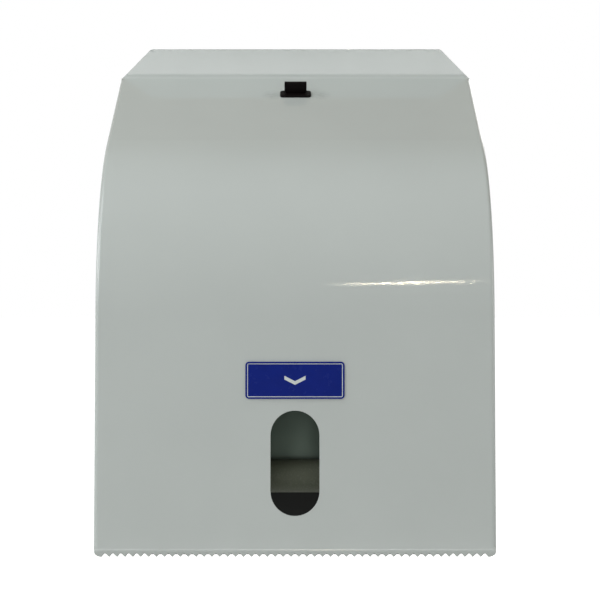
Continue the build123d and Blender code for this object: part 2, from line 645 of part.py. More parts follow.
with BuildPart() as exit_guide:
    with BuildSketch(SIDE.offset(-FRAME_INSIDE)):
        with BuildLine():
            FilletPolyline(EXIT_HIGH, EXIT_LOW, EXIT_TAIL, radius=5.0)
            offset(amount=EXIT_SHEET / 2, side=Side.BOTH)
        make_face()
    extrude(amount=2 * FRAME_INSIDE)
    with BuildSketch(SIDE.offset(-frame_outside)):
        guide_tab(EXIT_LOW, EXIT_HIGH, EXIT_SHEET, 0)
    extrude(amount=2 * frame_outside)
exit_guide.part.label = "exit_guide"
export_step(exit_guide.part, "parts/exit_guide.step")

# ---- driven feed roller, behind the paper ----
SLEEVE_LENGTH = 50.0
SLEEVE_SPACING = 70.0
BUSH_FLANGE = 9.0
PLANE_GAP = 1.0                  # between the two planes of gears
ARM_SHEET = 2.0
SECTOR_THICK = 4.0
WHEEL_THICK = 4.0
TIP_GAP = 0.5
arm_inside = frame_outside + 1.5
sector_inside = arm_inside + ARM_SHEET
sector_outside = sector_inside + SECTOR_THICK
wheel_inside = sector_outside + PLANE_GAP
wheel_outside = wheel_inside + WHEEL_THICK
pin_end = wheel_outside + 1.6
DRUM_RADIUS = 6.0
CLIP_THICK = 1.0
TAIL_HEAD = 3.8                  # radius of a stud's riveted head
COLLAR = 0.5                     # raised seat of a lever stud on its frame

PRESSURE = radians(25)
ADDENDUM = 0.9
DEDENDUM = 1.15
BACKLASH = 0.15                  # thinning of each tooth at the pitch circle
FLANK_POINTS = 5


def gear_points(teeth, module, centre, tooth_at):
    """Corners round an involute spur gear; one tooth's middle points along tooth_at, in degrees."""
    pitch = teeth * module / 2
    base = pitch * cos(PRESSURE)
    root = pitch - DEDENDUM * module
    tip = pitch + ADDENDUM * module
    low = max(base, root)
    radii = [low + (tip - low) * step / (FLANK_POINTS - 1) for step in range(FLANK_POINTS)]

    def involute(radius):
        angle = acos(base / radius)
        return tan(angle) - angle

    middle = (pi * module / 2 - BACKLASH) / (2 * pitch)
    halves = [degrees(middle + involute(pitch) - involute(radius)) for radius in radii]
    foot = [(root, -halves[0])] if root < low else []
    rising = foot + [(radius, -half) for radius, half in zip(radii, halves)]
    falling = [(radius, -angle) for radius, angle in reversed(rising)]
    points = []
    for tooth in range(teeth):
        at = tooth_at + 360 * tooth / teeth
        points += [polar(centre, radius, at + angle) for radius, angle in rising + falling]
    return points


with BuildPart() as feed_shaft:
    add(rod(FEED, SHAFT, -frame_outside - 3.0, wheel_outside + 1.0))
    fillet(faces().filter_by(Axis.X).edges(), 0.4)
feed_shaft.part.label = "feed_shaft"
export_step(feed_shaft.part, "parts/feed_shaft.step")

with BuildPart() as feed_sleeves:
    for middle in (-SLEEVE_SPACING, 0, SLEEVE_SPACING):
        add(rod(FEED, ROLLER_RADIUS, middle - SLEEVE_LENGTH / 2, middle + SLEEVE_LENGTH / 2))
    fillet(edges().filter_by(GeomType.CIRCLE), 0.8)
    add(rod(FEED, SHAFT + SEAT, -FRAME_INSIDE, FRAME_INSIDE), mode=Mode.SUBTRACT)
feed_sleeves.part.label = "feed_sleeves"
export_step(feed_sleeves.part, "parts/feed_sleeves.step")

with BuildPart() as feed_bushes:
    add(rod(FEED, BUSH_RADIUS, FRAME_INSIDE, frame_outside))
    add(rod(FEED, BUSH_FLANGE, FRAME_INSIDE - 1.2, FRAME_INSIDE))
    add(rod(FEED, SHAFT + RUN, 0, WIDTH), mode=Mode.SUBTRACT)
    mirror(about=Plane.YZ)
feed_bushes.part.label = "feed_bushes"
export_step(feed_bushes.part, "parts/feed_bushes.step")

with BuildPart() as feed_pinion:
    with BuildSketch(SIDE.offset(wheel_inside - TIP_GAP)):
        with BuildLine():
            tooth_at = direction(FEED, IDLER) + 180 / FEED_TEETH
            Polyline(*gear_points(FEED_TEETH, WHEEL_MODULE, FEED, tooth_at), close=True)
        make_face()
    extrude(amount=WHEEL_THICK + 2 * TIP_GAP)
    add(rod(FEED, DRUM_RADIUS, frame_outside + 1.0, wheel_inside))
    add(rod(FEED, SHAFT + SEAT, FRAME_INSIDE, WIDTH), mode=Mode.SUBTRACT)
feed_pinion.part.label = "feed_pinion"
export_step(feed_pinion.part, "parts/feed_pinion.step")

# ---- compound idler gear on its pin ----
with BuildPart() as idler_gear:
    with BuildSketch(SIDE.offset(sector_inside - TIP_GAP)):
        with BuildLine():
            tooth_at = direction(IDLER, LEVER) + 180 / PINION_TEETH
            Polyline(*gear_points(PINION_TEETH, SECTOR_MODULE, IDLER, tooth_at), close=True)
        make_face()
    extrude(amount=SECTOR_THICK + TIP_GAP + PLANE_GAP)
    with BuildSketch(SIDE.offset(wheel_inside)):
        with BuildLine():
            Polyline(*gear_points(WHEEL_TEETH, WHEEL_MODULE, IDLER, direction(IDLER, FEED)), close=True)
        make_face()
        with Locations(IDLER):
            with PolarLocations(0.62 * wheel_radius, 5):
                Circle(0.17 * wheel_radius, mode=Mode.SUBTRACT)
    extrude(amount=WHEEL_THICK)
    add(rod(IDLER, 1.8 * IDLER_PIN, frame_outside + LOOSE, sector_inside))
    add(rod(IDLER, IDLER_PIN + RUN, FRAME_INSIDE, WIDTH), mode=Mode.SUBTRACT)
idler_gear.part.label = "idler_gear"
export_step(idler_gear.part, "parts/idler_gear.step")


def stud(centre, radius, end, side):
    """Shouldered stud riveted through the side frame on one side, standing out of its outer face."""
    with BuildPart() as body:
        add(rod(centre, radius, side * frame_outside, side * end))
        add(rod(centre, STUD_TAIL, side * FRAME_INSIDE, side * frame_outside))
        add(rod(centre, TAIL_HEAD, side * (FRAME_INSIDE - CLIP_THICK), side * FRAME_INSIDE))
    return body.part


def clip(centre, radius, start):
    """Retaining clip pushed on from below, open at its foot."""
    with BuildPart() as body:
        with BuildSketch(across(centre, start)):
            Circle(1.75 * radius)
            Circle(radius + SEAT, mode=Mode.SUBTRACT)
            Rectangle(1.3 * radius, 2 * radius, align=(Align.CENTER, Align.MAX), mode=Mode.SUBTRACT)
        extrude(amount=CLIP_THICK)
    return body.part


idler_pin = stud(IDLER, IDLER_PIN, pin_end, 1)
idler_pin.label = "idler_pin"
export_step(idler_pin, "parts/idler_pin.step")

idler_clip = clip(IDLER, IDLER_PIN, wheel_outside + LOOSE)
idler_clip.label = "idler_clip"
export_step(idler_clip, "parts/idler_clip.step")

feed_clip = clip(FEED, SHAFT, -frame_outside - LOOSE - CLIP_THICK)
feed_clip.label = "feed_clip"
export_step(feed_clip, "parts/feed_clip.step")

# ---- front nip roller in its sprung yoke ----
NIP_LENGTH = 2 * 98.0
YOKE_SHEET = 2.0
YOKE_WIDTH = 13.0
YOKE_ROD = 4.0
yoke_outside = FRAME_INSIDE - 2.0
yoke_inside = yoke_outside - YOKE_SHEET
yoke_length = hypot(YOKE_PIVOT[0] - NIP[0], YOKE_PIVOT[1] - NIP[1])

with BuildPart() as nip_shaft:
    add(rod(NIP, NIP_SHAFT, -(FRAME_INSIDE - 0.6), FRAME_INSIDE - 0.6))
    fillet(faces().filter_by(Axis.X).edges(), 0.3)
nip_shaft.part.label = "nip_shaft"
export_step(nip_shaft.part, "parts/nip_shaft.step")

with BuildPart() as nip_roller:
    add(rod(NIP, ROLLER_RADIUS, -NIP_LENGTH / 2, NIP_LENGTH / 2))
    fillet(edges().filter_by(GeomType.CIRCLE), 0.8)
    add(rod(NIP, NIP_SHAFT + SEAT, -NIP_LENGTH, NIP_LENGTH), mode=Mode.SUBTRACT)
nip_roller.part.label = "nip_roller"
export_step(nip_roller.part, "parts/nip_roller.step")

with BuildPart() as nip_yoke:
    with BuildSketch(SIDE.offset(yoke_inside)):
        middle = ((YOKE_PIVOT[0] + NIP[0]) / 2, (YOKE_PIVOT[1] + NIP[1]) / 2)
        with Locations(Location((*middle, 0), (0, 0, direction(NIP, YOKE_PIVOT)))):
            SlotOverall(yoke_length + YOKE_WIDTH, YOKE_WIDTH)
        with Locations(NIP):
            Circle(NIP_SHAFT + RUN, mode=Mode.SUBTRACT)
    extrude(amount=YOKE_SHEET)
    mirror(about=Plane.YZ)
    add(rod(YOKE_PIVOT, YOKE_ROD, -yoke_inside, yoke_inside))
    add(rod(YOKE_PIVOT, YOKE_JOURNAL, -frame_outside - 1.0, frame_outside + 1.0))
nip_yoke.part.label = "nip_yoke"
export_step(nip_yoke.part, "parts/nip_yoke.step")

# coil springs round the rod: one end in front of the roller's shaft, the other on the paper guide
YOKE_WIRE = 0.6
YOKE_COIL = 3.6                  # length of the coil
nip_coil = YOKE_ROD + YOKE_WIRE + LOOSE
shaft_side = NIP_SHAFT + YOKE_WIRE + LOOSE / 2
to_shaft = direction(YOKE_PIVOT, NIP) + degrees(asin((nip_coil - shaft_side) / yoke_length))
guide_top = (GUIDE_HIGH[0] + 3.5, GUIDE_HIGH[1] + GUIDE_SHEET + YOKE_WIRE + 3 * LOOSE)
guide_far = hypot(guide_top[0] - YOKE_PIVOT[0], guide_top[1] - YOKE_PIVOT[1])
to_guide = direction(YOKE_PIVOT, guide_top) - degrees(asin(nip_coil / guide_far))
coil_start = across(YOKE_PIVOT, -(yoke_inside - 3 * LOOSE - YOKE_WIRE))
arms = ((to_guide, guide_far), (to_shaft, yoke_length))
left_spring = torsion_spring(coil_start, nip_coil, YOKE_WIRE, YOKE_COIL, *arms)
with BuildPart() as nip_springs:
    add(left_spring)
    mirror(about=Plane.YZ)
nip_springs.part.label = "nip_springs"
export_step(nip_springs.part, "parts/nip_springs.step")

# ---- lever: pressed bail with a moulded grip and a toothed sector ----
LEVER_HUB = 13.0
ARM_WIDTH = 14.0
PADDLE_START = 46.0
PADDLE_END = 66.0
GRIP_THICK = 2.5
GRIP_HALF = 100.0
GRIP_SETBACK = 2.0
RIVET_CIRCLE = 9.5
RIVET_HEAD = 0.8
LEVER_TRAVEL = 30.0
SECTOR_MARGIN = 12.0             # teeth beyond the travel at each end, degrees
POST_RADIUS = 1.5                # post for the lever spring
POST_REACH = 30.0
LEVER_COIL = 6.0
LEVER_WIRE = 0.7
COIL_LENGTH = 8.5
STUD_HEAD = 6.5
mesh_at = direction(LEVER, IDLER)
PUSH = turned(across(LEVER, 0), LEVER_REST)    # local (out along the arm, way the lever is pushed)

with BuildPart() as lever_bail:
    for side in (-1, 1):
        with BuildSketch(PUSH.offset(side * arm_inside)):
            Rectangle(PADDLE_END, ARM_WIDTH, align=(Align.MIN, Align.CENTER))
            fillet(vertices().group_by(Axis.X)[-1].sort_by(Axis.Y)[-1], ARM_WIDTH / 2)
            Circle(LEVER_HUB)
            Circle(LEVER_STUD + RUN, mode=Mode.SUBTRACT)
            with PolarLocations(RIVET_CIRCLE, 3):
                Circle(RIVET_RADIUS + SEAT, mode=Mode.SUBTRACT)
        extrude(amount=side * ARM_SHEET)
    with BuildSketch(PUSH.offset(-sector_inside)):
        with Locations((PADDLE_START, -ARM_WIDTH / 2)):
            Rectangle(PADDLE_END - PADDLE_START, ARM_SHEET, align=Align.MIN)
    extrude(amount=2 * sector_inside)
    with BuildSketch(PUSH.offset(-sector_inside)):
        with Locations((POST_REACH, 0)):
            Circle(POST_RADIUS)
    extrude(amount=-COIL_LENGTH / 2)
lever_bail.part.label = "lever_bail"
export_step(lever_bail.part, "parts/lever_bail.step")

with BuildPart() as lever_grip:
    paddle_length = PADDLE_END - PADDLE_START
    with BuildSketch(PUSH.offset(-GRIP_HALF)):
        with Locations((PADDLE_START + GRIP_SETBACK, -ARM_WIDTH / 2 - GRIP_THICK)):
            Rectangle(paddle_length, 2 * GRIP_THICK + ARM_SHEET, align=Align.MIN)
        fillet(vertices().group_by(Axis.X)[-1], GRIP_THICK)
        with Locations((PADDLE_START, -ARM_WIDTH / 2)):
            Rectangle(paddle_length, ARM_SHEET, align=Align.MIN, mode=Mode.SUBTRACT)
    extrude(amount=2 * GRIP_HALF)
lever_grip.part.label = "lever_grip"
export_step(lever_grip.part, "parts/lever_grip.step")

with BuildPart() as sector_gear:
    with BuildSketch(SIDE.offset(sector_inside)):
        with BuildLine():
            Polyline(*gear_points(SECTOR_TEETH, SECTOR_MODULE, LEVER, mesh_at), close=True)
        make_face()
        low = mesh_at - LEVER_TRAVEL - SECTOR_MARGIN
        high = mesh_at + SECTOR_MARGIN
        with BuildLine():
            reach = 2 * sector_radius
            Polyline(LEVER, polar(LEVER, reach, low), polar(LEVER, reach, high), close=True)
        make_face(mode=Mode.INTERSECT)
        with Locations(LEVER):
            Circle(LEVER_HUB)
        with Locations(polar(LEVER, 0.66 * sector_radius, (low + high) / 2)):
            Circle(0.13 * sector_radius, mode=Mode.SUBTRACT)
        with Locations(LEVER):
            Circle(LEVER_STUD + RUN, mode=Mode.SUBTRACT)
    extrude(amount=SECTOR_THICK)
    with BuildSketch(PUSH.offset(sector_inside)):
        with PolarLocations(RIVET_CIRCLE, 3):
            Circle(RIVET_RADIUS + SEAT)
    extrude(amount=SECTOR_THICK, mode=Mode.SUBTRACT)
sector_gear.part.label = "sector_gear"
export_step(sector_gear.part, "parts/sector_gear.step")

with BuildPart() as sector_rivets:
    with BuildSketch(PUSH.offset(arm_inside)):
        with PolarLocations(RIVET_CIRCLE, 3):
            Circle(RIVET_RADIUS)
    extrude(amount=ARM_SHEET + SECTOR_THICK)
    for start in (arm_inside - RIVET_HEAD, sector_outside):
        with BuildSketch(PUSH.offset(start)):
            with PolarLocations(RIVET_CIRCLE, 3):
                Circle(RIVET_RADIUS + RIVET_HEAD)
        extrude(amount=RIVET_HEAD)
sector_rivets.part.label = "sector_rivets"
export_step(sector_rivets.part, "parts/sector_rivets.step")

right_end = sector_outside + LOOSE
left_end = arm_inside + ARM_SHEET + COIL_LENGTH
with BuildPart() as lever_studs:
    for side, end in ((1, right_end), (-1, left_end)):
        add(stud(LEVER, LEVER_STUD, end, side))
        add(rod(LEVER, STUD_HEAD, side * end, side * (end + HEAD_THICK)))
        add(rod(LEVER, STUD_HEAD, side * frame_outside, side * (frame_outside + COLLAR)))
lever_studs.part.label = "lever_studs"
export_step(lever_studs.part, "parts/lever_studs.step")

spring_anchor = stud(SPRING_ANCHOR, STUD_TAIL, left_end + HEAD_THICK, -1)
spring_anchor.label = "spring_anchor"
export_step(spring_anchor, "parts/spring_anchor.step")

# the spring's ends lie against the anchor stud and the post on the arm
anchor_far = hypot(SPRING_ANCHOR[0] - LEVER[0], SPRING_ANCHOR[1] - LEVER[1])
anchor_side = STUD_TAIL + LEVER_WIRE + LOOSE / 3
post_side = POST_RADIUS + LEVER_WIRE + LOOSE / 3
to_anchor = direction(LEVER, SPRING_ANCHOR) - degrees(asin((LEVER_COIL - anchor_side) / anchor_far))
to_post = LEVER_REST + degrees(asin((LEVER_COIL - post_side) / POST_REACH))
arms = ((to_anchor, anchor_far + 4 * LEVER_WIRE), (to_post, POST_REACH + 4 * LEVER_WIRE))
coil_room = COIL_LENGTH - 2 * LOOSE - 4 * LEVER_WIRE
lever_spring = torsion_spring(
    across(LEVER, -left_end + LOOSE + LEVER_WIRE), LEVER_COIL, LEVER_WIRE, coil_room, *arms
)
lever_spring.label = "lever_spring"
export_step(lever_spring, "parts/lever_spring.step")

# ---- roll arms: sprung strips on the back plate, each with a turning hub ----
ARM_STRIP = 2.5
ARM_HEIGHT = 16.0
ARM_PIVOT_Y = -10.0
KNUCKLE = 4.6
ARM_PIN = 2.0
KNUCKLE_LOW = 8.0                # below the hub axis
KNUCKLE_HIGH = 3.0               # above it
EAR = 2.5
BRACKET_SHEET = 2.0
SPRING_ROOM = 6.0
ARM_WIRE = 0.45
ARM_COIL = 2.75
HUB_AXLE = 3.0
HUB_FLANGE = 22.0
HUB_NOSE = 17.0
NOSE_TAPER = 2.0
NOSE_LENGTH = 10.0
HUB_SHEET = 2.8
HUB_GAP = 0.4                    # hub to its arm
NOSE_SINK = 3.0
HUB_WEB_HOLES = 9.0              # radius of the circle of lightening holes
HUB = (-ROLL_REACH, ROLL_HEIGHT)
strip_inside = ARM_PLANE - ARM_STRIP / 2
strip_outside = ARM_PLANE + ARM_STRIP / 2
hub_back = strip_inside - HUB_GAP
hub_face = hub_back - HUB_SHEET
nose_end = hub_face - NOSE_LENGTH
nose_floor = nose_end + NOSE_SINK
knuckle_foot = ROLL_HEIGHT - KNUCKLE_LOW
knuckle_top = ROLL_HEIGHT + KNUCKLE_HIGH
ear_low = knuckle_foot - LOOSE
ear_high = knuckle_top + SPRING_ROOM
strip_start = ARM_PIVOT_Y - 2 * KNUCKLE


def upright(side, height):
    """Level plane at a height above the tear edge, with its origin on a roll arm's pin."""
    return Plane(origin=(side * ARM_PLANE, ARM_PIVOT_Y, EDGE_Z + height))


# the spring's lower end lies along the strip, its upper end on the bracket
strip_side = ARM_STRIP / 2 + ARM_WIRE + LOOSE / 3
along_strip = 3 * KNUCKLE
to_strip = -90 - degrees(asin((ARM_COIL - strip_side) / along_strip))
coil_height = SPRING_ROOM - 2 * ARM_WIRE - 4 * LOOSE
arms = ((to_strip, along_strip), (60.0, -ARM_PIVOT_Y - BRACKET_SHEET))
right_spring = torsion_spring(
    upright(1, knuckle_top + ARM_WIRE + 2 * LOOSE), ARM_COIL, ARM_WIRE, coil_height, *arms
)

for side, hand in ((-1, "left"), (1, "right")):
    with BuildPart() as arm_bracket:
        with BuildSketch(FRONT.offset(PLATE_SHEET)):
            with Locations((side * ARM_PLANE, ROLL_HEIGHT)):
                RectangleRounded(BRACKET_WIDTH, BRACKET_HEIGHT, EDGE_ROUND)
                with GridLocations(0, 2 * RIVET_OFFSET, 1, 2):
                    Circle(RIVET_RADIUS + SEAT, mode=Mode.SUBTRACT)
        extrude(amount=BRACKET_SHEET)
        for start in (ear_low - EAR, ear_high):
            with BuildSketch(upright(side, start)):
                Circle(KNUCKLE)
                Rectangle(2 * KNUCKLE, -ARM_PIVOT_Y - PLATE_SHEET, align=(Align.CENTER, Align.MIN))
                Circle(ARM_PIN + SEAT, mode=Mode.SUBTRACT)
            extrude(amount=EAR)
    arm_bracket.part.label = f"arm_bracket_{hand}"
    export_step(arm_bracket.part, f"parts/arm_bracket_{hand}.step")

    with BuildPart() as roll_arm:
        with BuildSketch(SIDE.offset(side * strip_inside)):
            with Locations(HUB):
                Circle(ARM_HEIGHT / 2)
            with Locations((strip_start, ROLL_HEIGHT)):
                Rectangle(ROLL_REACH + strip_start, ARM_HEIGHT, align=(Align.MAX, Align.CENTER))
            with Locations((ARM_PIVOT_Y, knuckle_foot)):
                Rectangle(3 * KNUCKLE, KNUCKLE_LOW + KNUCKLE_HIGH, align=(Align.MAX, Align.MIN))
            with Locations(HUB):
                Circle(HUB_AXLE + SEAT, mode=Mode.SUBTRACT)
        extrude(amount=side * ARM_STRIP)
        for radius, mode in ((KNUCKLE, Mode.ADD), (ARM_PIN + RUN, Mode.SUBTRACT)):
            with BuildSketch(upright(side, knuckle_foot)):
                Circle(radius)
            extrude(amount=KNUCKLE_LOW + KNUCKLE_HIGH, mode=mode)
    roll_arm.part.label = f"roll_arm_{hand}"
    export_step(roll_arm.part, f"parts/roll_arm_{hand}.step")

    with BuildPart() as arm_pin:
        pin_foot = ear_low - EAR
        pin_top = ear_high + EAR
        with BuildSketch(upright(side, pin_foot)):
            Circle(ARM_PIN)
        extrude(amount=pin_top - pin_foot)
        for start in (pin_foot - CLIP_THICK, pin_top):
            with BuildSketch(upright(side, start)):
                Circle(1.6 * ARM_PIN)
            extrude(amount=CLIP_THICK)
    arm_pin.part.label = f"arm_pin_{hand}"
    export_step(arm_pin.part, f"parts/arm_pin_{hand}.step")

    arm_spring = right_spring if side > 0 else mirror(right_spring, about=Plane.YZ)
    arm_spring.label = f"arm_spring_{hand}"
    export_step(arm_spring, f"parts/arm_spring_{hand}.step")

    with BuildPart() as hub_axle:
        axle_end = nose_floor - LOOSE
        add(rod(HUB, HUB_AXLE, side * axle_end, side * strip_outside))
        add(rod(HUB, 1.6 * HUB_AXLE, side * (axle_end - HEAD_THICK), side * axle_end))
        add(rod(HUB, 1.6 * HUB_AXLE, side * strip_outside, side * (strip_outside + HEAD_THICK)))
    hub_axle.part.label = f"hub_axle_{hand}"
    export_step(hub_axle.part, f"parts/hub_axle_{hand}.step")

    with BuildPart() as roll_hub:
        add(rod(HUB, HUB_FLANGE, side * hub_back, side * hub_face))
        with BuildSketch(across(HUB, side * hub_face)):
            Circle(HUB_NOSE)
        with BuildSketch(across(HUB, side * nose_end)):
            Circle(HUB_NOSE - NOSE_TAPER)
        loft()
        add(rod(HUB, HUB_NOSE - 2 * NOSE_TAPER, side * nose_end, side * nose_floor), mode=Mode.SUBTRACT)
        add(rod(HUB, HUB_AXLE + RUN, side * nose_end, side * hub_back), mode=Mode.SUBTRACT)
        with BuildSketch(across(HUB, side * nose_end)):
            with PolarLocations(HUB_WEB_HOLES, 6):
                Circle(0.3 * HUB_WEB_HOLES)
        extrude(amount=side * (hub_face - nose_end), mode=Mode.SUBTRACT)
    roll_hub.part.label = f"roll_hub_{hand}"
    export_step(roll_hub.part, f"parts/roll_hub_{hand}.step")

# ---- rivets of the brackets and the strike ----
with BuildPart() as bracket_rivets:
    for radius, start, end in (
        (RIVET_RADIUS, 0, PLATE_SHEET + BRACKET_SHEET),
        (2 * RIVET_RADIUS, PLATE_SHEET + BRACKET_SHEET, PLATE_SHEET + BRACKET_SHEET + CLIP_THICK),
    ):
        with BuildSketch(FRONT.offset(start)):
            with Locations((0, ROLL_HEIGHT)):
                with GridLocations(2 * ARM_PLANE, 2 * RIVET_OFFSET, 2, 2):
                    Circle(radius)
        extrude(amount=end - start)
bracket_rivets.part.label = "bracket_rivets"
export_step(bracket_rivets.part, "parts/bracket_rivets.step")

with BuildPart() as strike_rivets:
    for radius, start, end in (
        (RIVET_RADIUS, 0, PLATE_SHEET + STRIKE_SHEET),
        (2 * RIVET_RADIUS, PLATE_SHEET + STRIKE_SHEET, PLATE_SHEET + STRIKE_SHEET + CLIP_THICK),
    ):
        with BuildSketch(FRONT.offset(start)):
            with Locations((0, STRIKE_RIVET_HEIGHT)):
                with GridLocations(STRIKE_RIVETS, 0, 2, 1):
                    Circle(radius)
        extrude(amount=end - start)
strike_rivets.part.label = "strike_rivets"
export_step(strike_rivets.part, "parts/strike_rivets.step")

# ---- latch spring on the pin, beside the hook ----
LATCH_WIRE = 0.35
LATCH_COIL = 1.9
latch_room = NECK_WIDTH / 2 - HOOK_WIDTH / 2 - 2 * LATCH_WIRE - 3 * LOOSE
coil_start = across(LATCH, HOOK_WIDTH / 2 + LATCH_WIRE + LOOSE)
latch_spring = torsion_spring(coil_start, LATCH_COIL, LATCH_WIRE, latch_room, (150.0, 5.0), (-20.0, 6.0))
latch_spring.label = "latch_spring"
export_step(latch_spring, "parts/latch_spring.step")
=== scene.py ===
# %% [markdown]
# # Lever paper towel dispenser
# A steel box that hangs on a wall: a light grey enamelled cover with an oblong window and a toothed
# tear edge, a small black latch in its roof, and behind it the rollers, gears, springs and roll arms.
# The shapes come finished from the CAD part, so this script gives them their finishes, a camera,
# a plain pale studio and soft light. Everything is in metres, in the frame of the CAD part:
# X runs across, the wall is at Y = 0 with the room towards -Y, and Z is up.

# %% Load the part
from math import pi, radians

import bpy
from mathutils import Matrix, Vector


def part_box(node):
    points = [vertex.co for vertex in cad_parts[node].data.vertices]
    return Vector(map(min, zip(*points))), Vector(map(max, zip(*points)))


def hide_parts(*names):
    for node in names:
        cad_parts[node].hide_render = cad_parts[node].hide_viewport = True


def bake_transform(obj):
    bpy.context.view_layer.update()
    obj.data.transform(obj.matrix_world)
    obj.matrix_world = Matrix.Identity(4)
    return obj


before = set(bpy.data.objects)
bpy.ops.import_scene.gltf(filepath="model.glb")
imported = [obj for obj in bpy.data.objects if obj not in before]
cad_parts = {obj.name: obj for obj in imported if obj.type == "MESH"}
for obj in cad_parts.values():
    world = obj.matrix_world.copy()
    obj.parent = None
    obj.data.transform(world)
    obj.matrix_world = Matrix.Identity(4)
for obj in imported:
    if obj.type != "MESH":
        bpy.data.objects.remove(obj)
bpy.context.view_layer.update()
MM = 0.001
scene = bpy.context.scene

# %% [markdown]
# ## Camera
# A wall box looks most like itself from a little above its middle, through a long lens that keeps the
# sides almost parallel. One way is to place the camera by eye. Here it hangs on an exact line: it
# looks at a point inside the cover from 5 degrees up, and from far enough away for the long lens.
# It stands a few millimetres to the right, which sets the dispenser a little left of the middle.

# %% Camera
LOOK_AT = Vector((3.3, -110.0, -12.7)) * MM
CAMERA_AWAY = 1347.4 * MM
CAMERA_RISE = radians(5.0)
LENS = 113.93
SENSOR_WIDTH = 36.0                  # millimetres, full frame
NEAREST, FARTHEST = 0.05, 60.0

camera = bpy.data.objects.new("camera", bpy.data.cameras.new("camera"))
scene.collection.objects.link(camera)
camera.rotation_euler = (radians(90.0) - CAMERA_RISE, 0.0, 0.0)
camera.location = LOOK_AT - camera.rotation_euler.to_matrix() @ Vector((0.0, 0.0, -CAMERA_AWAY))
camera.data.lens = LENS
camera.data.sensor_width = SENSOR_WIDTH
camera.data.clip_start, camera.data.clip_end = NEAREST, FARTHEST
scene.camera = camera
scene.view_settings.view_transform = "Standard"
print("camera at", [round(v, 3) for v in camera.location])

# %% [markdown]
# ## Node helpers
# A finish in Blender is a small network of nodes. Clicking it together by hand is the usual way, but
# a dozen finishes share the same few moves, so each move is a short function here: add a node, do a
# sum, make a soft pattern at a size in millimetres, and spread a pattern between two values. Wear is
# found by comparing the true surface with a rounded one: where the two lean apart, there is an edge.
# In the finishes below, spread(tree, cloudy(tree, 3), 0.35, 0.9) therefore reads: soft patches of
# 3 millimetres, from a share of 0.35 up to 0.9.

# %% Node helpers
NOISE_LOW, NOISE_HIGH = 0.3, 0.7     # nearly all of a soft noise lies between these
EDGE_STARTS, EDGE_FULL = 0.985, 0.8  # cosine between the true and the rounded surface
WEAR_SAMPLES, RELIEF_SAMPLES = 6, 4


def add_node(tree, kind, settings=None, **inputs):
    """A node with its settings made and its named inputs joined to sockets or set to values."""
    made = tree.nodes.new(kind)
    for setting, value in (settings or {}).items():
        setattr(made, setting, value)
    for name, value in inputs.items():
        join(tree, value, made.inputs[name.replace("_", " ")])
    return made


def join(tree, value, socket):
    """Links a socket to an input, or sets the input to a plain value."""
    if isinstance(value, bpy.types.NodeSocket):
        tree.links.new(value, socket)
    else:
        socket.default_value = value


def calc(tree, operation, *values):
    """The result of one sum."""
    made = add_node(tree, "ShaderNodeMath", {"operation": operation})
    for value, socket in zip(values, made.inputs):
        join(tree, value, socket)
    return made.outputs[0]


def spread(tree, pattern, low, high, start=NOISE_LOW, end=NOISE_HIGH):
    """The pattern's values from start to end, spread over low to high."""
    ranged = add_node(tree, "ShaderNodeMapRange", Value=pattern, From_Min=start, From_Max=end,
                      To_Min=low, To_Max=high)
    return ranged.outputs[0]


def blend_colours(tree, share, first, second):
    """The first colour turning into the second as share goes from 0 to 1."""
    mixed = tree.nodes.new("ShaderNodeMix")
    mixed.data_type = "RGBA"
    sockets = {s.identifier: s for s in mixed.inputs}
    join(tree, share, sockets["Factor_Float"])
    for key, colour in (("A_Color", first), ("B_Color", second)):
        if not isinstance(colour, bpy.types.NodeSocket):
            colour = (*colour, 1.0)
        join(tree, colour, sockets[key])
    return {s.identifier: s for s in mixed.outputs}["Result_Color"]


def place_on_piece(tree):
    """Position on the piece in metres, which moves and turns with it."""
    return add_node(tree, "ShaderNodeTexCoord").outputs["Object"]


def cloudy(tree, size, stretch=(1, 1, 1), detail=2.0):
    """Soft noise whose patches are about size millimetres, or longer by a stretch along X, Y, Z."""
    scale = [1.0 / (size * MM * along) for along in stretch]
    mapping = add_node(tree, "ShaderNodeMapping", Vector=place_on_piece(tree), Scale=scale)
    return add_node(tree, "ShaderNodeTexNoise", Vector=mapping.outputs[0], Scale=1.0,
                    Detail=detail).outputs[0]


def worn_edge(tree, width):
    """Goes from 0 on the flats to 1 at the edges, over about width millimetres."""
    rounded = add_node(tree, "ShaderNodeBevel", {"samples": WEAR_SAMPLES}, Radius=width * MM)
    flat = add_node(tree, "ShaderNodeNewGeometry").outputs["Normal"]
    same = add_node(tree, "ShaderNodeVectorMath", {"operation": "DOT_PRODUCT"})
    join(tree, rounded.outputs[0], same.inputs[0])
    join(tree, flat, same.inputs[1])
    return spread(tree, same.outputs["Value"], 0.0, 1.0, start=EDGE_STARTS, end=EDGE_FULL)


def start_finish(name, colour, roughness, metallic=0.0, **sockets):
    """A finish with its fixed values on the shader itself."""
    finish = bpy.data.materials.new(name)
    finish.use_nodes = True
    finish.diffuse_color = (*colour, 1.0)
    tree = finish.node_tree
    shader = tree.nodes["Principled BSDF"]
    shader.inputs["Metallic"].default_value = metallic
    shader.inputs["Base Color"].default_value = (*colour, 1.0)
    shader.inputs["Roughness"].default_value = roughness
    for socket, value in sockets.items():
        shader.inputs[socket.replace("_", " ")].default_value = value
    return finish, tree, shader


def add_relief(tree, shader, heights, edge=0.3):
    """Fine relief, as (pattern, depth in millimetres) pairs, over softened edges."""
    normal = add_node(tree, "ShaderNodeBevel", {"samples": RELIEF_SAMPLES},
                      Radius=edge * MM).outputs[0]
    for pattern, depth in heights:
        normal = add_node(tree, "ShaderNodeBump", Height=pattern, Strength=1.0,
                          Distance=depth * MM, Normal=normal).outputs[0]
    join(tree, normal, shader.inputs["Normal"])


print("node helpers ready")

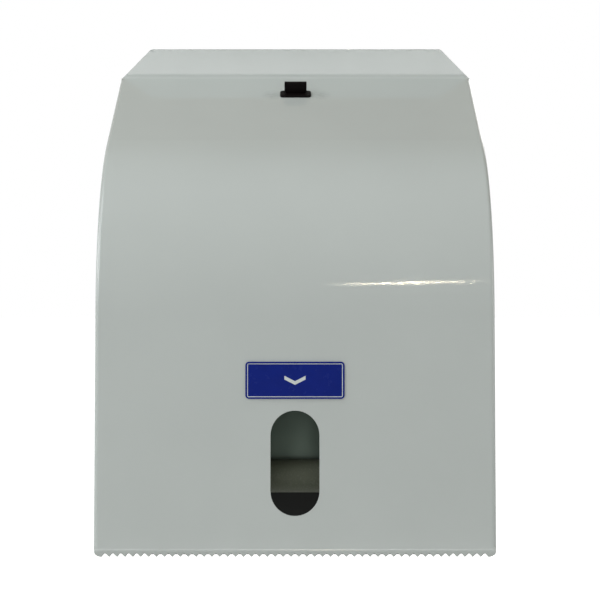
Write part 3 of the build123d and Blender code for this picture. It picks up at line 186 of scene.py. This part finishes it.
# %% [markdown]
# ## Background and floor
# The picture stands on pure white. Turning up the lamps would burn out the pale enamel as well, so
# the white is only what the camera and shiny surfaces see: Light Path tells the world which kind of
# ray asks. Soft light on the object comes from the same world at its own, plainer strength. The floor
# lies well below, since the dispenser hangs, and it adds just enough white for the camera that its
# shadow still shows. It is clear from its underside, so that a camera may also look up from under
# it. A room also has a ceiling, and glossy enamel seen at a flat angle mirrors it strongly: without
# one the sloping roof looks chalky. This one is only there for mirrored rays. It is a dim warm grey
# over the wall and brightens to the white of the room towards the front.

# %% Background and floor
WHITE = (1.0, 1.0, 1.0, 1.0)
SOFT_LIGHT = 0.30
BOARD_REACH = 6.0                    # of the floor and the ceiling, to the sides and to the back
FLOOR_HEIGHT = -0.62
FLOOR_COLOUR = (0.80, 0.80, 0.79, 1.0)
FLOOR_LIFT = (0.30, 0.86)            # near the dispenser, where its shadow falls, and far away
FLOOR_NEAR, FLOOR_FAR = 0.7, 1.5
CEILING_HEIGHT = 2.2
CEILING_FRONT = -1.6
CEILING_FADES = (-0.8, 1.4)          # white in front of these, dim behind them
CEILING_COLOUR = (0.29, 0.25, 0.20)


def seen_directly(tree):
    """1 for what the camera sees, also by way of a shiny or clear surface, and 0 for soft light."""
    path = add_node(tree, "ShaderNodeLightPath").outputs
    shiny = calc(tree, "MAXIMUM", path["Is Glossy Ray"], path["Is Transmission Ray"])
    return calc(tree, "MAXIMUM", path["Is Camera Ray"], shiny)


world = bpy.data.worlds.new("studio")
world.use_nodes = True
scene.world = world
sky = world.node_tree
sky.nodes.clear()
soft = add_node(sky, "ShaderNodeBackground", Color=WHITE, Strength=SOFT_LIGHT)
plain = add_node(sky, "ShaderNodeBackground", Color=WHITE, Strength=1.0)
either = add_node(sky, "ShaderNodeMixShader")
join(sky, seen_directly(sky), either.inputs[0])
join(sky, soft.outputs[0], either.inputs[1])
join(sky, plain.outputs[0], either.inputs[2])
add_node(sky, "ShaderNodeOutputWorld", Surface=either.outputs[0])


def add_board(name, front, height):
    """A level board that starts at front, with an empty node tree for its own material."""
    mesh = bpy.data.meshes.new(name)
    corners = ((-BOARD_REACH, front), (BOARD_REACH, front),
               (BOARD_REACH, BOARD_REACH), (-BOARD_REACH, BOARD_REACH))
    mesh.from_pydata([(x, y, height) for x, y in corners], [], [(0, 1, 2, 3)])
    board = bpy.data.objects.new(name, mesh)
    scene.collection.objects.link(board)
    material = bpy.data.materials.new(name)
    material.use_nodes = True
    material.node_tree.nodes.clear()
    mesh.materials.append(material)
    return board, material.node_tree


floor, tree = add_board("floor", -BOARD_REACH, FLOOR_HEIGHT)
matt = add_node(tree, "ShaderNodeBsdfDiffuse", Color=FLOOR_COLOUR)
where = add_node(tree, "ShaderNodeNewGeometry").outputs
away = add_node(tree, "ShaderNodeVectorMath", {"operation": "DISTANCE"})
join(tree, where["Position"], away.inputs[0])
join(tree, (0.0, 0.0, FLOOR_HEIGHT), away.inputs[1])
white_share = spread(tree, away.outputs["Value"], *FLOOR_LIFT, start=FLOOR_NEAR, end=FLOOR_FAR)
lift = add_node(tree, "ShaderNodeEmission", Color=WHITE, Strength=calc(
    tree, "MULTIPLY", seen_directly(tree), white_share))
both = add_node(tree, "ShaderNodeAddShader")
join(tree, matt.outputs[0], both.inputs[0])
join(tree, lift.outputs[0], both.inputs[1])
one_sided = add_node(tree, "ShaderNodeMixShader")
join(tree, where["Backfacing"], one_sided.inputs[0])
join(tree, both.outputs[0], one_sided.inputs[1])
join(tree, add_node(tree, "ShaderNodeBsdfTransparent").outputs[0], one_sided.inputs[2])
add_node(tree, "ShaderNodeOutputMaterial", Surface=one_sided.outputs[0])

ceiling, tree = add_board("ceiling", CEILING_FRONT, CEILING_HEIGHT)
ceiling.visible_camera = ceiling.visible_diffuse = False
ceiling.visible_shadow = ceiling.visible_transmission = False
place = add_node(tree, "ShaderNodeNewGeometry").outputs["Position"]
back = add_node(tree, "ShaderNodeSeparateXYZ", Vector=place).outputs["Y"]
dimming = add_node(tree, "ShaderNodeMapRange", {"interpolation_type": "SMOOTHSTEP"}, Value=back,
                   From_Min=CEILING_FADES[0], From_Max=CEILING_FADES[1]).outputs[0]
glow = add_node(tree, "ShaderNodeEmission",
                Color=blend_colours(tree, dimming, WHITE[:3], CEILING_COLOUR))
add_node(tree, "ShaderNodeOutputMaterial", Surface=glow.outputs[0])
print(floor.name, "at", FLOOR_HEIGHT, "m,", ceiling.name, "at", CEILING_HEIGHT, "m, rest white")

# %% [markdown]
# ## Lamps
# Gloss enamel shows its lamps, so each lamp's place follows from what may mirror it. The cover bends
# about the X axis only, and seen from the camera it mirrors just a narrow strip of the room straight
# ahead and overhead. The big boxes therefore stand well to the left: they model the bend and make
# the light fall off to the right, but only the rounded left edge mirrors them. One box overhead,
# above the mirrored ceiling, lights the roof. A wide, low card far out in front is mirrored by the
# upright strip above the roof and makes it stand out. Two more boxes keep the right flank and the
# wall side readable. The boxes fade towards their edges, as real soft boxes do. A short warm tube
# high up in front draws the thin warm line across the bend, and a second small warm lamp low in
# front only glints in the lip above the teeth.

# %% Lamps
AIM = Vector((0.0, -0.11, 0.0))
NEUTRAL = (1.0, 1.0, 1.0)
COOL = (0.985, 1.0, 1.035)
CREAM = (1.0, 0.96, 0.90)
WARM = (1.0, 0.90, 0.66)


def add_lamp(name, place, size, brightness, colour=NEUTRAL, tilt=0.0, fading=False):
    """A rectangular lamp turned towards the dispenser; brightness is what its middle looks like."""
    light = bpy.data.lights.new(name, "AREA")
    light.shape = "RECTANGLE"
    light.size, light.size_y = size
    light.energy = brightness * size[0] * size[1] * pi
    light.color = colour
    if fading:
        # a parabola each way, 0 at the edges and 1 in the middle
        light.use_nodes = True
        tree = light.node_tree
        across = add_node(tree, "ShaderNodeNewGeometry").outputs["Parametric"]
        ways = add_node(tree, "ShaderNodeSeparateXYZ", Vector=across).outputs
        strength = 1.0
        for way in (ways["X"], ways["Y"]):
            hill = calc(tree, "MULTIPLY", way, calc(tree, "SUBTRACT", 1.0, way))
            strength = calc(tree, "MULTIPLY", strength, calc(tree, "MULTIPLY", hill, 4.0))
        join(tree, strength, tree.nodes["Emission"].inputs["Strength"])
    lamp = bpy.data.objects.new(name, light)
    lamp.location = place
    lamp.rotation_euler = (AIM - Vector(place)).to_track_quat("-Z", "Y").to_euler()
    lamp.rotation_euler.rotate_axis("Z", radians(tilt))
    lamp.visible_camera = False
    scene.collection.objects.link(lamp)


add_lamp("left_low_box", (-1.16, -1.15, 0.90), (1.2, 1.2), 4.9, COOL, fading=True)
add_lamp("left_high_box", (-0.95, -0.56, 1.59), (1.2, 1.2), 3.2, COOL, fading=True)
add_lamp("left_side_box", (-1.88, -0.18, 0.68), (1.2, 1.2), 5.2, COOL, fading=True)
add_lamp("overhead_box", (0.0, -0.4, 3.0), (2.2, 2.2), 3.6, CREAM, fading=True)
add_lamp("front_card", (0.0, -12.0, -0.10), (16.0, 1.7), 3.7)
add_lamp("right_side_box", (2.3, -0.45, 0.5), (1.4, 1.4), 3.2, fading=True)
add_lamp("wall_side_box", (0.9, 2.6, 1.2), (2.2, 1.8), 3.2, fading=True)
add_lamp("warm_tube", (0.262, -3.2, 1.512), (0.33, 0.018), 165.0, WARM, tilt=16.0, fading=True)
add_lamp("low_glint", (0.05, -3.0, -0.42), (0.18, 0.30), 16.0, WARM, fading=True)

# %% [markdown]
# ## Gloss enamel
# The cover is sheet steel with a thick stoved enamel: almost a mirror, but with the fine orange peel
# that sprayed enamel keeps, and with the faint waviness of pressed sheet below it. Both are far too
# small to model, so they are relief in the finish, each at its real size. Colour drifts by one or two
# parts in a hundred, the cut edges are a little lighter where the coat is thin, and two soft darker
# patches beside the latch are painted shade, the latch's shadow on the roof.

# %% Gloss enamel
COLOUR_DRIFT = 0.015
# how far the painted shade beside the latch darkens the enamel's colour
SHADE_TINT = (0.50, 0.53, 0.48)
WAVE_SIZE, WAVE_DEPTH = 46, 0.045    # millimetres, for the waviness of the sheet
PEEL_SIZE = 1.9                      # millimetres, for the orange peel of the coat
# centre and radii of each patch of painted shade, in millimetres, left and right of the latch
LATCH_SHADE_SPOTS = [((-17, -35.7, 133.5), (9, 11, 8)), ((18, -35.7, 133.5), (9, 11, 8))]


def soft_spot(tree, centre, radii):
    """1 at a centre on the piece falling to 0 over three radii, all in millimetres."""
    mapping = add_node(tree, "ShaderNodeMapping", {"vector_type": "TEXTURE"},
                       Vector=place_on_piece(tree), Location=[c * MM for c in centre],
                       Scale=[r * MM for r in radii])
    ball = add_node(tree, "ShaderNodeTexGradient", {"gradient_type": "SPHERICAL"},
                    Vector=mapping.outputs[0])
    return ball.outputs["Fac"]


def make_enamel(name, colour, gloss, peel, edge_colour, shade_spots=(), glare=(1.0, 1.0, 1.0)):
    """Stoved enamel on steel sheet; peel is the orange peel's depth in millimetres; spots are painted
    shade.
    """
    finish, tree, shader = start_finish(name, colour, gloss, IOR=1.52, Specular_Tint=(*glare, 1.0))
    shade = spread(tree, cloudy(tree, 70), 0.0, 1.0)
    body = blend_colours(tree, shade, [c * (1 - COLOUR_DRIFT) for c in colour],
                         [c * (1 + COLOUR_DRIFT) for c in colour])
    # patchy darker spots: painted shade of the latch on the roof
    for spot in shade_spots:
        painted_shade = calc(tree, "MULTIPLY", soft_spot(tree, *spot),
                      spread(tree, cloudy(tree, 4), 0.15, 0.45))
        body = blend_colours(tree, painted_shade, body, [c * f for c, f in zip(colour, SHADE_TINT)])
    thin = calc(tree, "MULTIPLY", worn_edge(tree, 0.5), spread(tree, cloudy(tree, 3), 0.35, 0.9))
    body = blend_colours(tree, thin, body, edge_colour)
    join(tree, body, shader.inputs["Base Color"])
    smear = spread(tree, cloudy(tree, 22, (1, 1, 2.5), detail=4), gloss * 0.8, gloss * 1.5)
    join(tree, smear, shader.inputs["Roughness"])
    add_relief(tree, shader, [(cloudy(tree, WAVE_SIZE, detail=1), WAVE_DEPTH),
                              (cloudy(tree, PEEL_SIZE, detail=1), peel)], edge=0.35)
    return finish


# the two spots beside the latch darken the cover's colour as painted shade
cover_enamel = make_enamel(
    "cover_enamel", (0.402, 0.436, 0.417), 0.050, 0.018, (0.52, 0.55, 0.53),
    shade_spots=LATCH_SHADE_SPOTS)
plate_enamel = make_enamel("plate_enamel", (0.36, 0.39, 0.37), 0.16, 0.004, (0.46, 0.48, 0.46))
lever_enamel = make_enamel("lever_enamel", (0.075, 0.08, 0.082), 0.32, 0.012, (0.30, 0.30, 0.31))
# The paper guide's near-black grey-green is painted shade: the plate sits in the dark inside the
# cover, and its reflections are tinted the same green.
guide_painted_shade = make_enamel("guide_painted_shade", (0.041, 0.058, 0.046), 0.35, 0.010, (0.16, 0.18, 0.16),
                           glare=(0.80, 0.98, 0.84))
print("enamels:", cover_enamel.name, plate_enamel.name, lever_enamel.name, guide_painted_shade.name)

# %% [markdown]
# ## Zinc plated and bright steel
# The frames, arms, yoke and brackets are folded from zinc plated sheet: a soft grey metal with
# faint crystal patches and rolling lines. Pins, shafts and rivets are turned or headed from bright
# bar, so their marks run round the axis. Springs are drawn wire, darker and slightly oily. A metal's
# look is nearly all in its roughness, so the patterns drive that first and the colour only a little.

# %% Zinc plated and bright steel
CRYSTAL_SIZE = 5.5                   # millimetres across one patch
LINE_WIDTH, MARK_WIDTH = 0.45, 0.30  # of a rolling line and of a tool mark
RUBBED_ZINC = (0.80, 0.80, 0.79)
RUBBED_STEEL = (0.82, 0.82, 0.83)
OLD_OIL = (0.20, 0.17, 0.13)


def make_plated(name, bright, dull, lines):
    """Zinc plate: crystal patches, and rolling lines stretched along X, Y, Z as lines says."""
    finish, tree, shader = start_finish(name, bright, 0.35, metallic=1.0)
    mapping = add_node(tree, "ShaderNodeMapping", Vector=place_on_piece(tree),
                       Scale=[1 / (CRYSTAL_SIZE * MM)] * 3)
    crystals = add_node(tree, "ShaderNodeTexVoronoi", {"feature": "SMOOTH_F1"},
                        Vector=mapping.outputs[0], Scale=1.0, Smoothness=0.35).outputs["Color"]
    patch = add_node(tree, "ShaderNodeSeparateColor", Color=crystals).outputs[0]
    rolled = cloudy(tree, LINE_WIDTH, lines, detail=3)
    shade = calc(tree, "ADD", calc(tree, "MULTIPLY", patch, 0.35),
                 calc(tree, "MULTIPLY", rolled, 0.55))
    body = blend_colours(tree, spread(tree, shade, 0.0, 1.0, start=0.2, end=0.75), dull, bright)
    rub = calc(tree, "MULTIPLY", worn_edge(tree, 0.6), spread(tree, cloudy(tree, 2.5), 0.2, 0.9))
    body = blend_colours(tree, rub, body, RUBBED_ZINC)
    join(tree, body, shader.inputs["Base Color"])
    dullness = calc(tree, "ADD", spread(tree, patch, 0.24, 0.36, start=0.0, end=1.0),
                    spread(tree, rolled, 0.0, 0.10))
    join(tree, dullness, shader.inputs["Roughness"])
    add_relief(tree, shader, [(rolled, 0.004), (cloudy(tree, 9), 0.02)], edge=0.3)
    return finish


def make_bright(name, colour, rings, roughness, oil=0.0):
    """Turned, headed or drawn steel; its tool marks are stretched along X, Y, Z as rings says."""
    finish, tree, shader = start_finish(name, colour, roughness, metallic=1.0)
    marks = cloudy(tree, MARK_WIDTH, rings, detail=2)
    stain = spread(tree, cloudy(tree, 6, detail=4), 0.0, 1.0, start=0.42, end=0.72)
    body = blend_colours(tree, spread(tree, marks, 0.0, 1.0), [c * 0.86 for c in colour], colour)
    body = blend_colours(tree, calc(tree, "MULTIPLY", stain, 0.25 + oil), body, OLD_OIL)
    body = blend_colours(tree, worn_edge(tree, 0.35), body, RUBBED_STEEL)
    join(tree, body, shader.inputs["Base Color"])
    join(tree, calc(tree, "ADD", spread(tree, marks, roughness - 0.05, roughness + 0.08),
                    calc(tree, "MULTIPLY", stain, 0.12)), shader.inputs["Roughness"])
    add_relief(tree, shader, [(marks, 0.003)], edge=0.2)
    return finish


zinc_sheet = make_plated("zinc_sheet", (0.62, 0.63, 0.62), (0.44, 0.455, 0.45), (1, 14, 14))
turned_shaft = make_bright("turned_shaft", (0.64, 0.64, 0.65), (1, 8, 8), 0.20)
headed_steel = make_bright("headed_steel", (0.60, 0.60, 0.61), (1, 1, 1), 0.26)
spring_wire = make_bright("spring_wire", (0.42, 0.42, 0.43), (1, 1, 1), 0.24, oil=0.25)
print("metals:", zinc_sheet.name, turned_shaft.name, headed_steel.name, spring_wire.name)

# %% [markdown]
# ## Plastics and rubber
# The latch, lever grip and exit guide are moulded black with a fine spark-eroded skin. The gears and
# washers are natural acetal and the sector is glass-filled nylon; running gears gather a film of dark
# grease in their tooth roots, which Ambient Occlusion finds without painting. The rollers are ground
# rubber: matt, with fine rings round them and a little paper dust.

# %% Plastics and rubber
ACETAL, RUBBED_ACETAL = (0.74, 0.72, 0.66), (0.80, 0.78, 0.73)
GREASE = (0.055, 0.045, 0.03)
ROOT_DEPTH = 2.2                     # millimetres, how far a tooth root looks for its neighbours
PAPER_DUST = (0.42, 0.41, 0.38)


def make_moulded(name, colour, roughness, skin, edge_colour,
                 grease=0.0, fibres=(1, 1, 1), shine=0.5):
    """Moulded plastic with a skin pattern in millimetres and, where it runs in gears, some grease."""
    finish, tree, shader = start_finish(name, colour, roughness, IOR=1.48, Specular_IOR_Level=shine)
    flow = spread(tree, cloudy(tree, 9, (1, 1, 2), detail=3), 0.0, 1.0)
    body = blend_colours(tree, flow, [c * 0.90 for c in colour], [c * 1.06 for c in colour])
    rub = calc(tree, "MULTIPLY", worn_edge(tree, 0.4), spread(tree, cloudy(tree, 1.8), 0.1, 0.8))
    body = blend_colours(tree, rub, body, edge_colour)
    if grease:
        open_sky = add_node(tree, "ShaderNodeAmbientOcclusion", {"samples": WEAR_SAMPLES},
                            Distance=ROOT_DEPTH * MM)
        root = spread(tree, open_sky.outputs["AO"], grease, 0.0, start=0.35, end=0.85)
        body = blend_colours(tree, root, body, GREASE)
    join(tree, body, shader.inputs["Base Color"])
    grain = cloudy(tree, skin, fibres, detail=2)
    join(tree, spread(tree, grain, roughness - 0.06, roughness + 0.10), shader.inputs["Roughness"])
    add_relief(tree, shader, [(grain, 0.010), (cloudy(tree, 14), 0.015)], edge=0.25)
    return finish


def make_rubber(name, colour):
    """Ground rubber on a roller that turns about X."""
    finish, tree, shader = start_finish(name, colour, 0.7, IOR=1.50, Specular_IOR_Level=0.32)
    rings = cloudy(tree, 0.55, (1, 30, 30), detail=2)
    specks = spread(tree, cloudy(tree, 1.1, detail=4), 0.0, 0.10, start=0.52, end=0.72)
    dust = calc(tree, "MULTIPLY", specks, spread(tree, cloudy(tree, 25), 0.2, 1.0))
    body = blend_colours(tree, spread(tree, rings, 0.0, 1.0), [c * 0.82 for c in colour], colour)
    body = blend_colours(tree, dust, body, PAPER_DUST)
    join(tree, body, shader.inputs["Base Color"])
    join(tree, spread(tree, rings, 0.58, 0.78), shader.inputs["Roughness"])
    add_relief(tree, shader, [(rings, 0.020), (cloudy(tree, 0.7), 0.012)], edge=0.3)
    return finish


black_latch = make_moulded("black_latch", (0.003, 0.002, 0.002), 0.36, 0.35,
                           (0.010, 0.009, 0.008), shine=0.06)
black_guide = make_moulded("black_guide", (0.006, 0.007, 0.006), 0.45, 0.5,
                           (0.03, 0.03, 0.03), shine=0.15)
acetal_gear = make_moulded("acetal_gear", ACETAL, 0.36, 0.8, RUBBED_ACETAL, grease=0.75)
acetal_bush = make_moulded("acetal_bush", ACETAL, 0.36, 0.8, RUBBED_ACETAL, grease=0.35)
nylon_sector = make_moulded("nylon_sector", (0.060, 0.061, 0.066), 0.46, 0.35, (0.13, 0.13, 0.135),
                            grease=0.6, fibres=(1, 5, 1))
grey_hub = make_moulded("grey_hub", (0.13, 0.145, 0.16), 0.40, 0.6, (0.22, 0.235, 0.25))
roller_rubber = make_rubber("roller_rubber", (0.060, 0.068, 0.045))
print("moulded:", black_latch.name, black_guide.name, acetal_gear.name, acetal_bush.name,
      nylon_sector.name, grey_hub.name, "and rubber:", roller_rubber.name)

# %% [markdown]
# ## Badge
# The cover carries a small blue plate. This one bears no name: it has a pale keyline near its edge
# and a chevron that points down to where the towel comes out. The line and the chevron are print,
# flat on the plate, so they are drawn in the finish from the distance to their edges rather than
# modelled as solids.

# %% Badge
low_corner, high_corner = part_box("badge")
badge_centre = (low_corner + high_corner) / 2
badge_half = (high_corner - low_corner) / 2
KEYLINE_INSET = 1.5 * MM
KEYLINE_WIDTH = 0.45 * MM
BADGE_ROUND = 2.2 * MM
CHEVRON_REACH = 7.0 * MM
CHEVRON_SLOPE = 0.5
CHEVRON_HALF = 1.2 * MM              # half its thickness, upright
RUBBED_BLUE = (0.42, 0.46, 0.50)


def inside(tree, distance, soft=0.06 * MM):
    """1 where a distance is below zero, with a printed line's slightly soft edge."""
    return spread(tree, distance, 1.0, 0.0, start=-soft, end=soft)


def make_badge(name, blue, pale):
    """Blue gloss plate with a printed keyline and chevron."""
    finish, tree, shader = start_finish(name, blue, 0.22, IOR=1.5, Specular_IOR_Level=0.08)
    place = add_node(tree, "ShaderNodeSeparateXYZ", Vector=place_on_piece(tree)).outputs
    aside = calc(tree, "ABSOLUTE", place["X"])
    above = calc(tree, "SUBTRACT", place["Z"], badge_centre.z)
    # distance to the plate's rounded outline, below zero inside it
    squares = []
    for side, half in ((aside, badge_half.x), (calc(tree, "ABSOLUTE", above), badge_half.z)):
        over = calc(tree, "MAXIMUM", calc(tree, "SUBTRACT", side, half - BADGE_ROUND), 0.0)
        squares.append(calc(tree, "MULTIPLY", over, over))
    outline = calc(tree, "SUBTRACT", calc(tree, "SQRT", calc(tree, "ADD", *squares)), BADGE_ROUND)
    off_line = calc(tree, "ABSOLUTE", calc(tree, "ADD", outline, KEYLINE_INSET))
    keyline = inside(tree, calc(tree, "SUBTRACT", off_line, KEYLINE_WIDTH / 2))
    arm = calc(tree, "SUBTRACT", above, calc(tree, "MULTIPLY", aside, CHEVRON_SLOPE))
    arm = calc(tree, "ADD", arm, CHEVRON_REACH * CHEVRON_SLOPE / 2)
    off_arm = calc(tree, "SUBTRACT", calc(tree, "ABSOLUTE", arm), CHEVRON_HALF)
    past_end = calc(tree, "SUBTRACT", aside, CHEVRON_REACH)
    chevron = calc(tree, "MULTIPLY", inside(tree, off_arm), inside(tree, past_end))
    printed = calc(tree, "MAXIMUM", keyline, chevron)
    printed = calc(tree, "MULTIPLY", printed, spread(tree, cloudy(tree, 0.5), 0.86, 1.0))
    drift = spread(tree, cloudy(tree, 12), 0.0, 1.0)
    body = blend_colours(tree, drift, [c * 0.93 for c in blue], [c * 1.05 for c in blue])
    body = blend_colours(tree, printed, body, pale)
    rub = calc(tree, "MULTIPLY", worn_edge(tree, 0.25), spread(tree, cloudy(tree, 1.5), 0.2, 0.8))
    body = blend_colours(tree, rub, body, RUBBED_BLUE)
    join(tree, body, shader.inputs["Base Color"])
    join(tree, spread(tree, cloudy(tree, 5, detail=4), 0.18, 0.30), shader.inputs["Roughness"])
    add_relief(tree, shader, [(cloudy(tree, 2.5), 0.003), (printed, 0.008)], edge=0.15)
    return finish


badge_plate = make_badge("badge_plate", (0.0012, 0.0105, 0.150), (0.56, 0.60, 0.58))
print("badge", [round(v / MM, 1) for v in badge_half * 2], "mm")

# %% [markdown]
# ## Finishes onto the pieces
# Each CAD piece keeps its own shape, and its finish goes into its material slot. The table lists the
# pieces that each finish covers, and the last line prints the names of any that are left over, so a
# piece without a finish is noticed straight away.

# %% Finishes onto the pieces
FINISHES = {
    cover_enamel: ["front_cover"],
    plate_enamel: ["back_plate"],
    badge_plate: ["badge"],
    zinc_sheet: ["side_frame_left", "side_frame_right", "arm_bracket_left", "arm_bracket_right",
                 "roll_arm_left", "roll_arm_right", "nip_yoke", "latch_strike"],
    # the paper guide's dark colour is painted shade
    guide_painted_shade: ["paper_guide"],
    turned_shaft: ["feed_shaft", "nip_shaft", "idler_pin", "latch_pin", "hub_axle_left",
                   "hub_axle_right", "lever_studs", "limit_studs", "spring_anchor",
                   "hinge_rivets", "sector_rivets"],
    headed_steel: ["arm_pin_left", "arm_pin_right", "bracket_rivets", "feed_clip", "frame_screws",
                   "idler_clip", "strike_rivets"],
    spring_wire: ["arm_spring_left", "arm_spring_right", "latch_spring", "lever_spring",
                  "nip_springs"],
    black_latch: ["latch_bezel", "latch_lever"],
    black_guide: ["exit_guide", "lever_grip"],
    acetal_gear: ["feed_pinion", "idler_gear"],
    acetal_bush: ["feed_bushes", "hinge_washers"],
    nylon_sector: ["sector_gear"],
    grey_hub: ["roll_hub_left", "roll_hub_right"],
    roller_rubber: ["feed_sleeves", "nip_roller"],
    lever_enamel: ["lever_bail"],
}
finished = set()
for finish, names in FINISHES.items():
    for name in names:
        for material_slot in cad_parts[name].material_slots:
            material_slot.material = finish
        finished.add(name)
print("finished:", len(finished), "left:", sorted(set(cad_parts) - finished))

# %% [markdown]
# ## Spring copies
# Each torsion spring has one leg against a piece that stands still and the other against a piece
# that swings. Each is shown by a copy of its mesh in the wire finish, and the rigid one is hidden.
# The table gives the body that holds each spring, the body that it pushes, and two points in
# millimetres for where the bending would start and end; nothing here reads the two points.

# %% Spring copies
FLEXING = {
    "nip_springs": ("base", "yoke", (0, -186, -80), (0, -193, -123.5)),
    "arm_spring_left": ("base", "arm_left", (-109, -13.5, -10), (-109, -23.8, -10)),
    "arm_spring_right": ("base", "arm_right", (109, -13.5, -10), (109, -23.8, -10)),
    "lever_spring": ("base", "lever", (-118, -124.2, -130.6), (-118, -136.2, -155.6)),
    "latch_spring": ("cover", "latch", (6, -30.4, 127.5), (6, -27.7, 125.6)),
}
for name, (held_by, pushes, start, end) in FLEXING.items():
    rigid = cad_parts[name]
    flexing = bpy.data.objects.new(name + "_flexing", rigid.data.copy())
    flexing.matrix_world = rigid.matrix_world
    flexing.data.materials.clear()
    flexing.data.materials.append(spring_wire)
    scene.collection.objects.link(flexing)
    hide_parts(name)
    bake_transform(flexing)
    print(flexing.name, "bends from", held_by, "to", pushes)
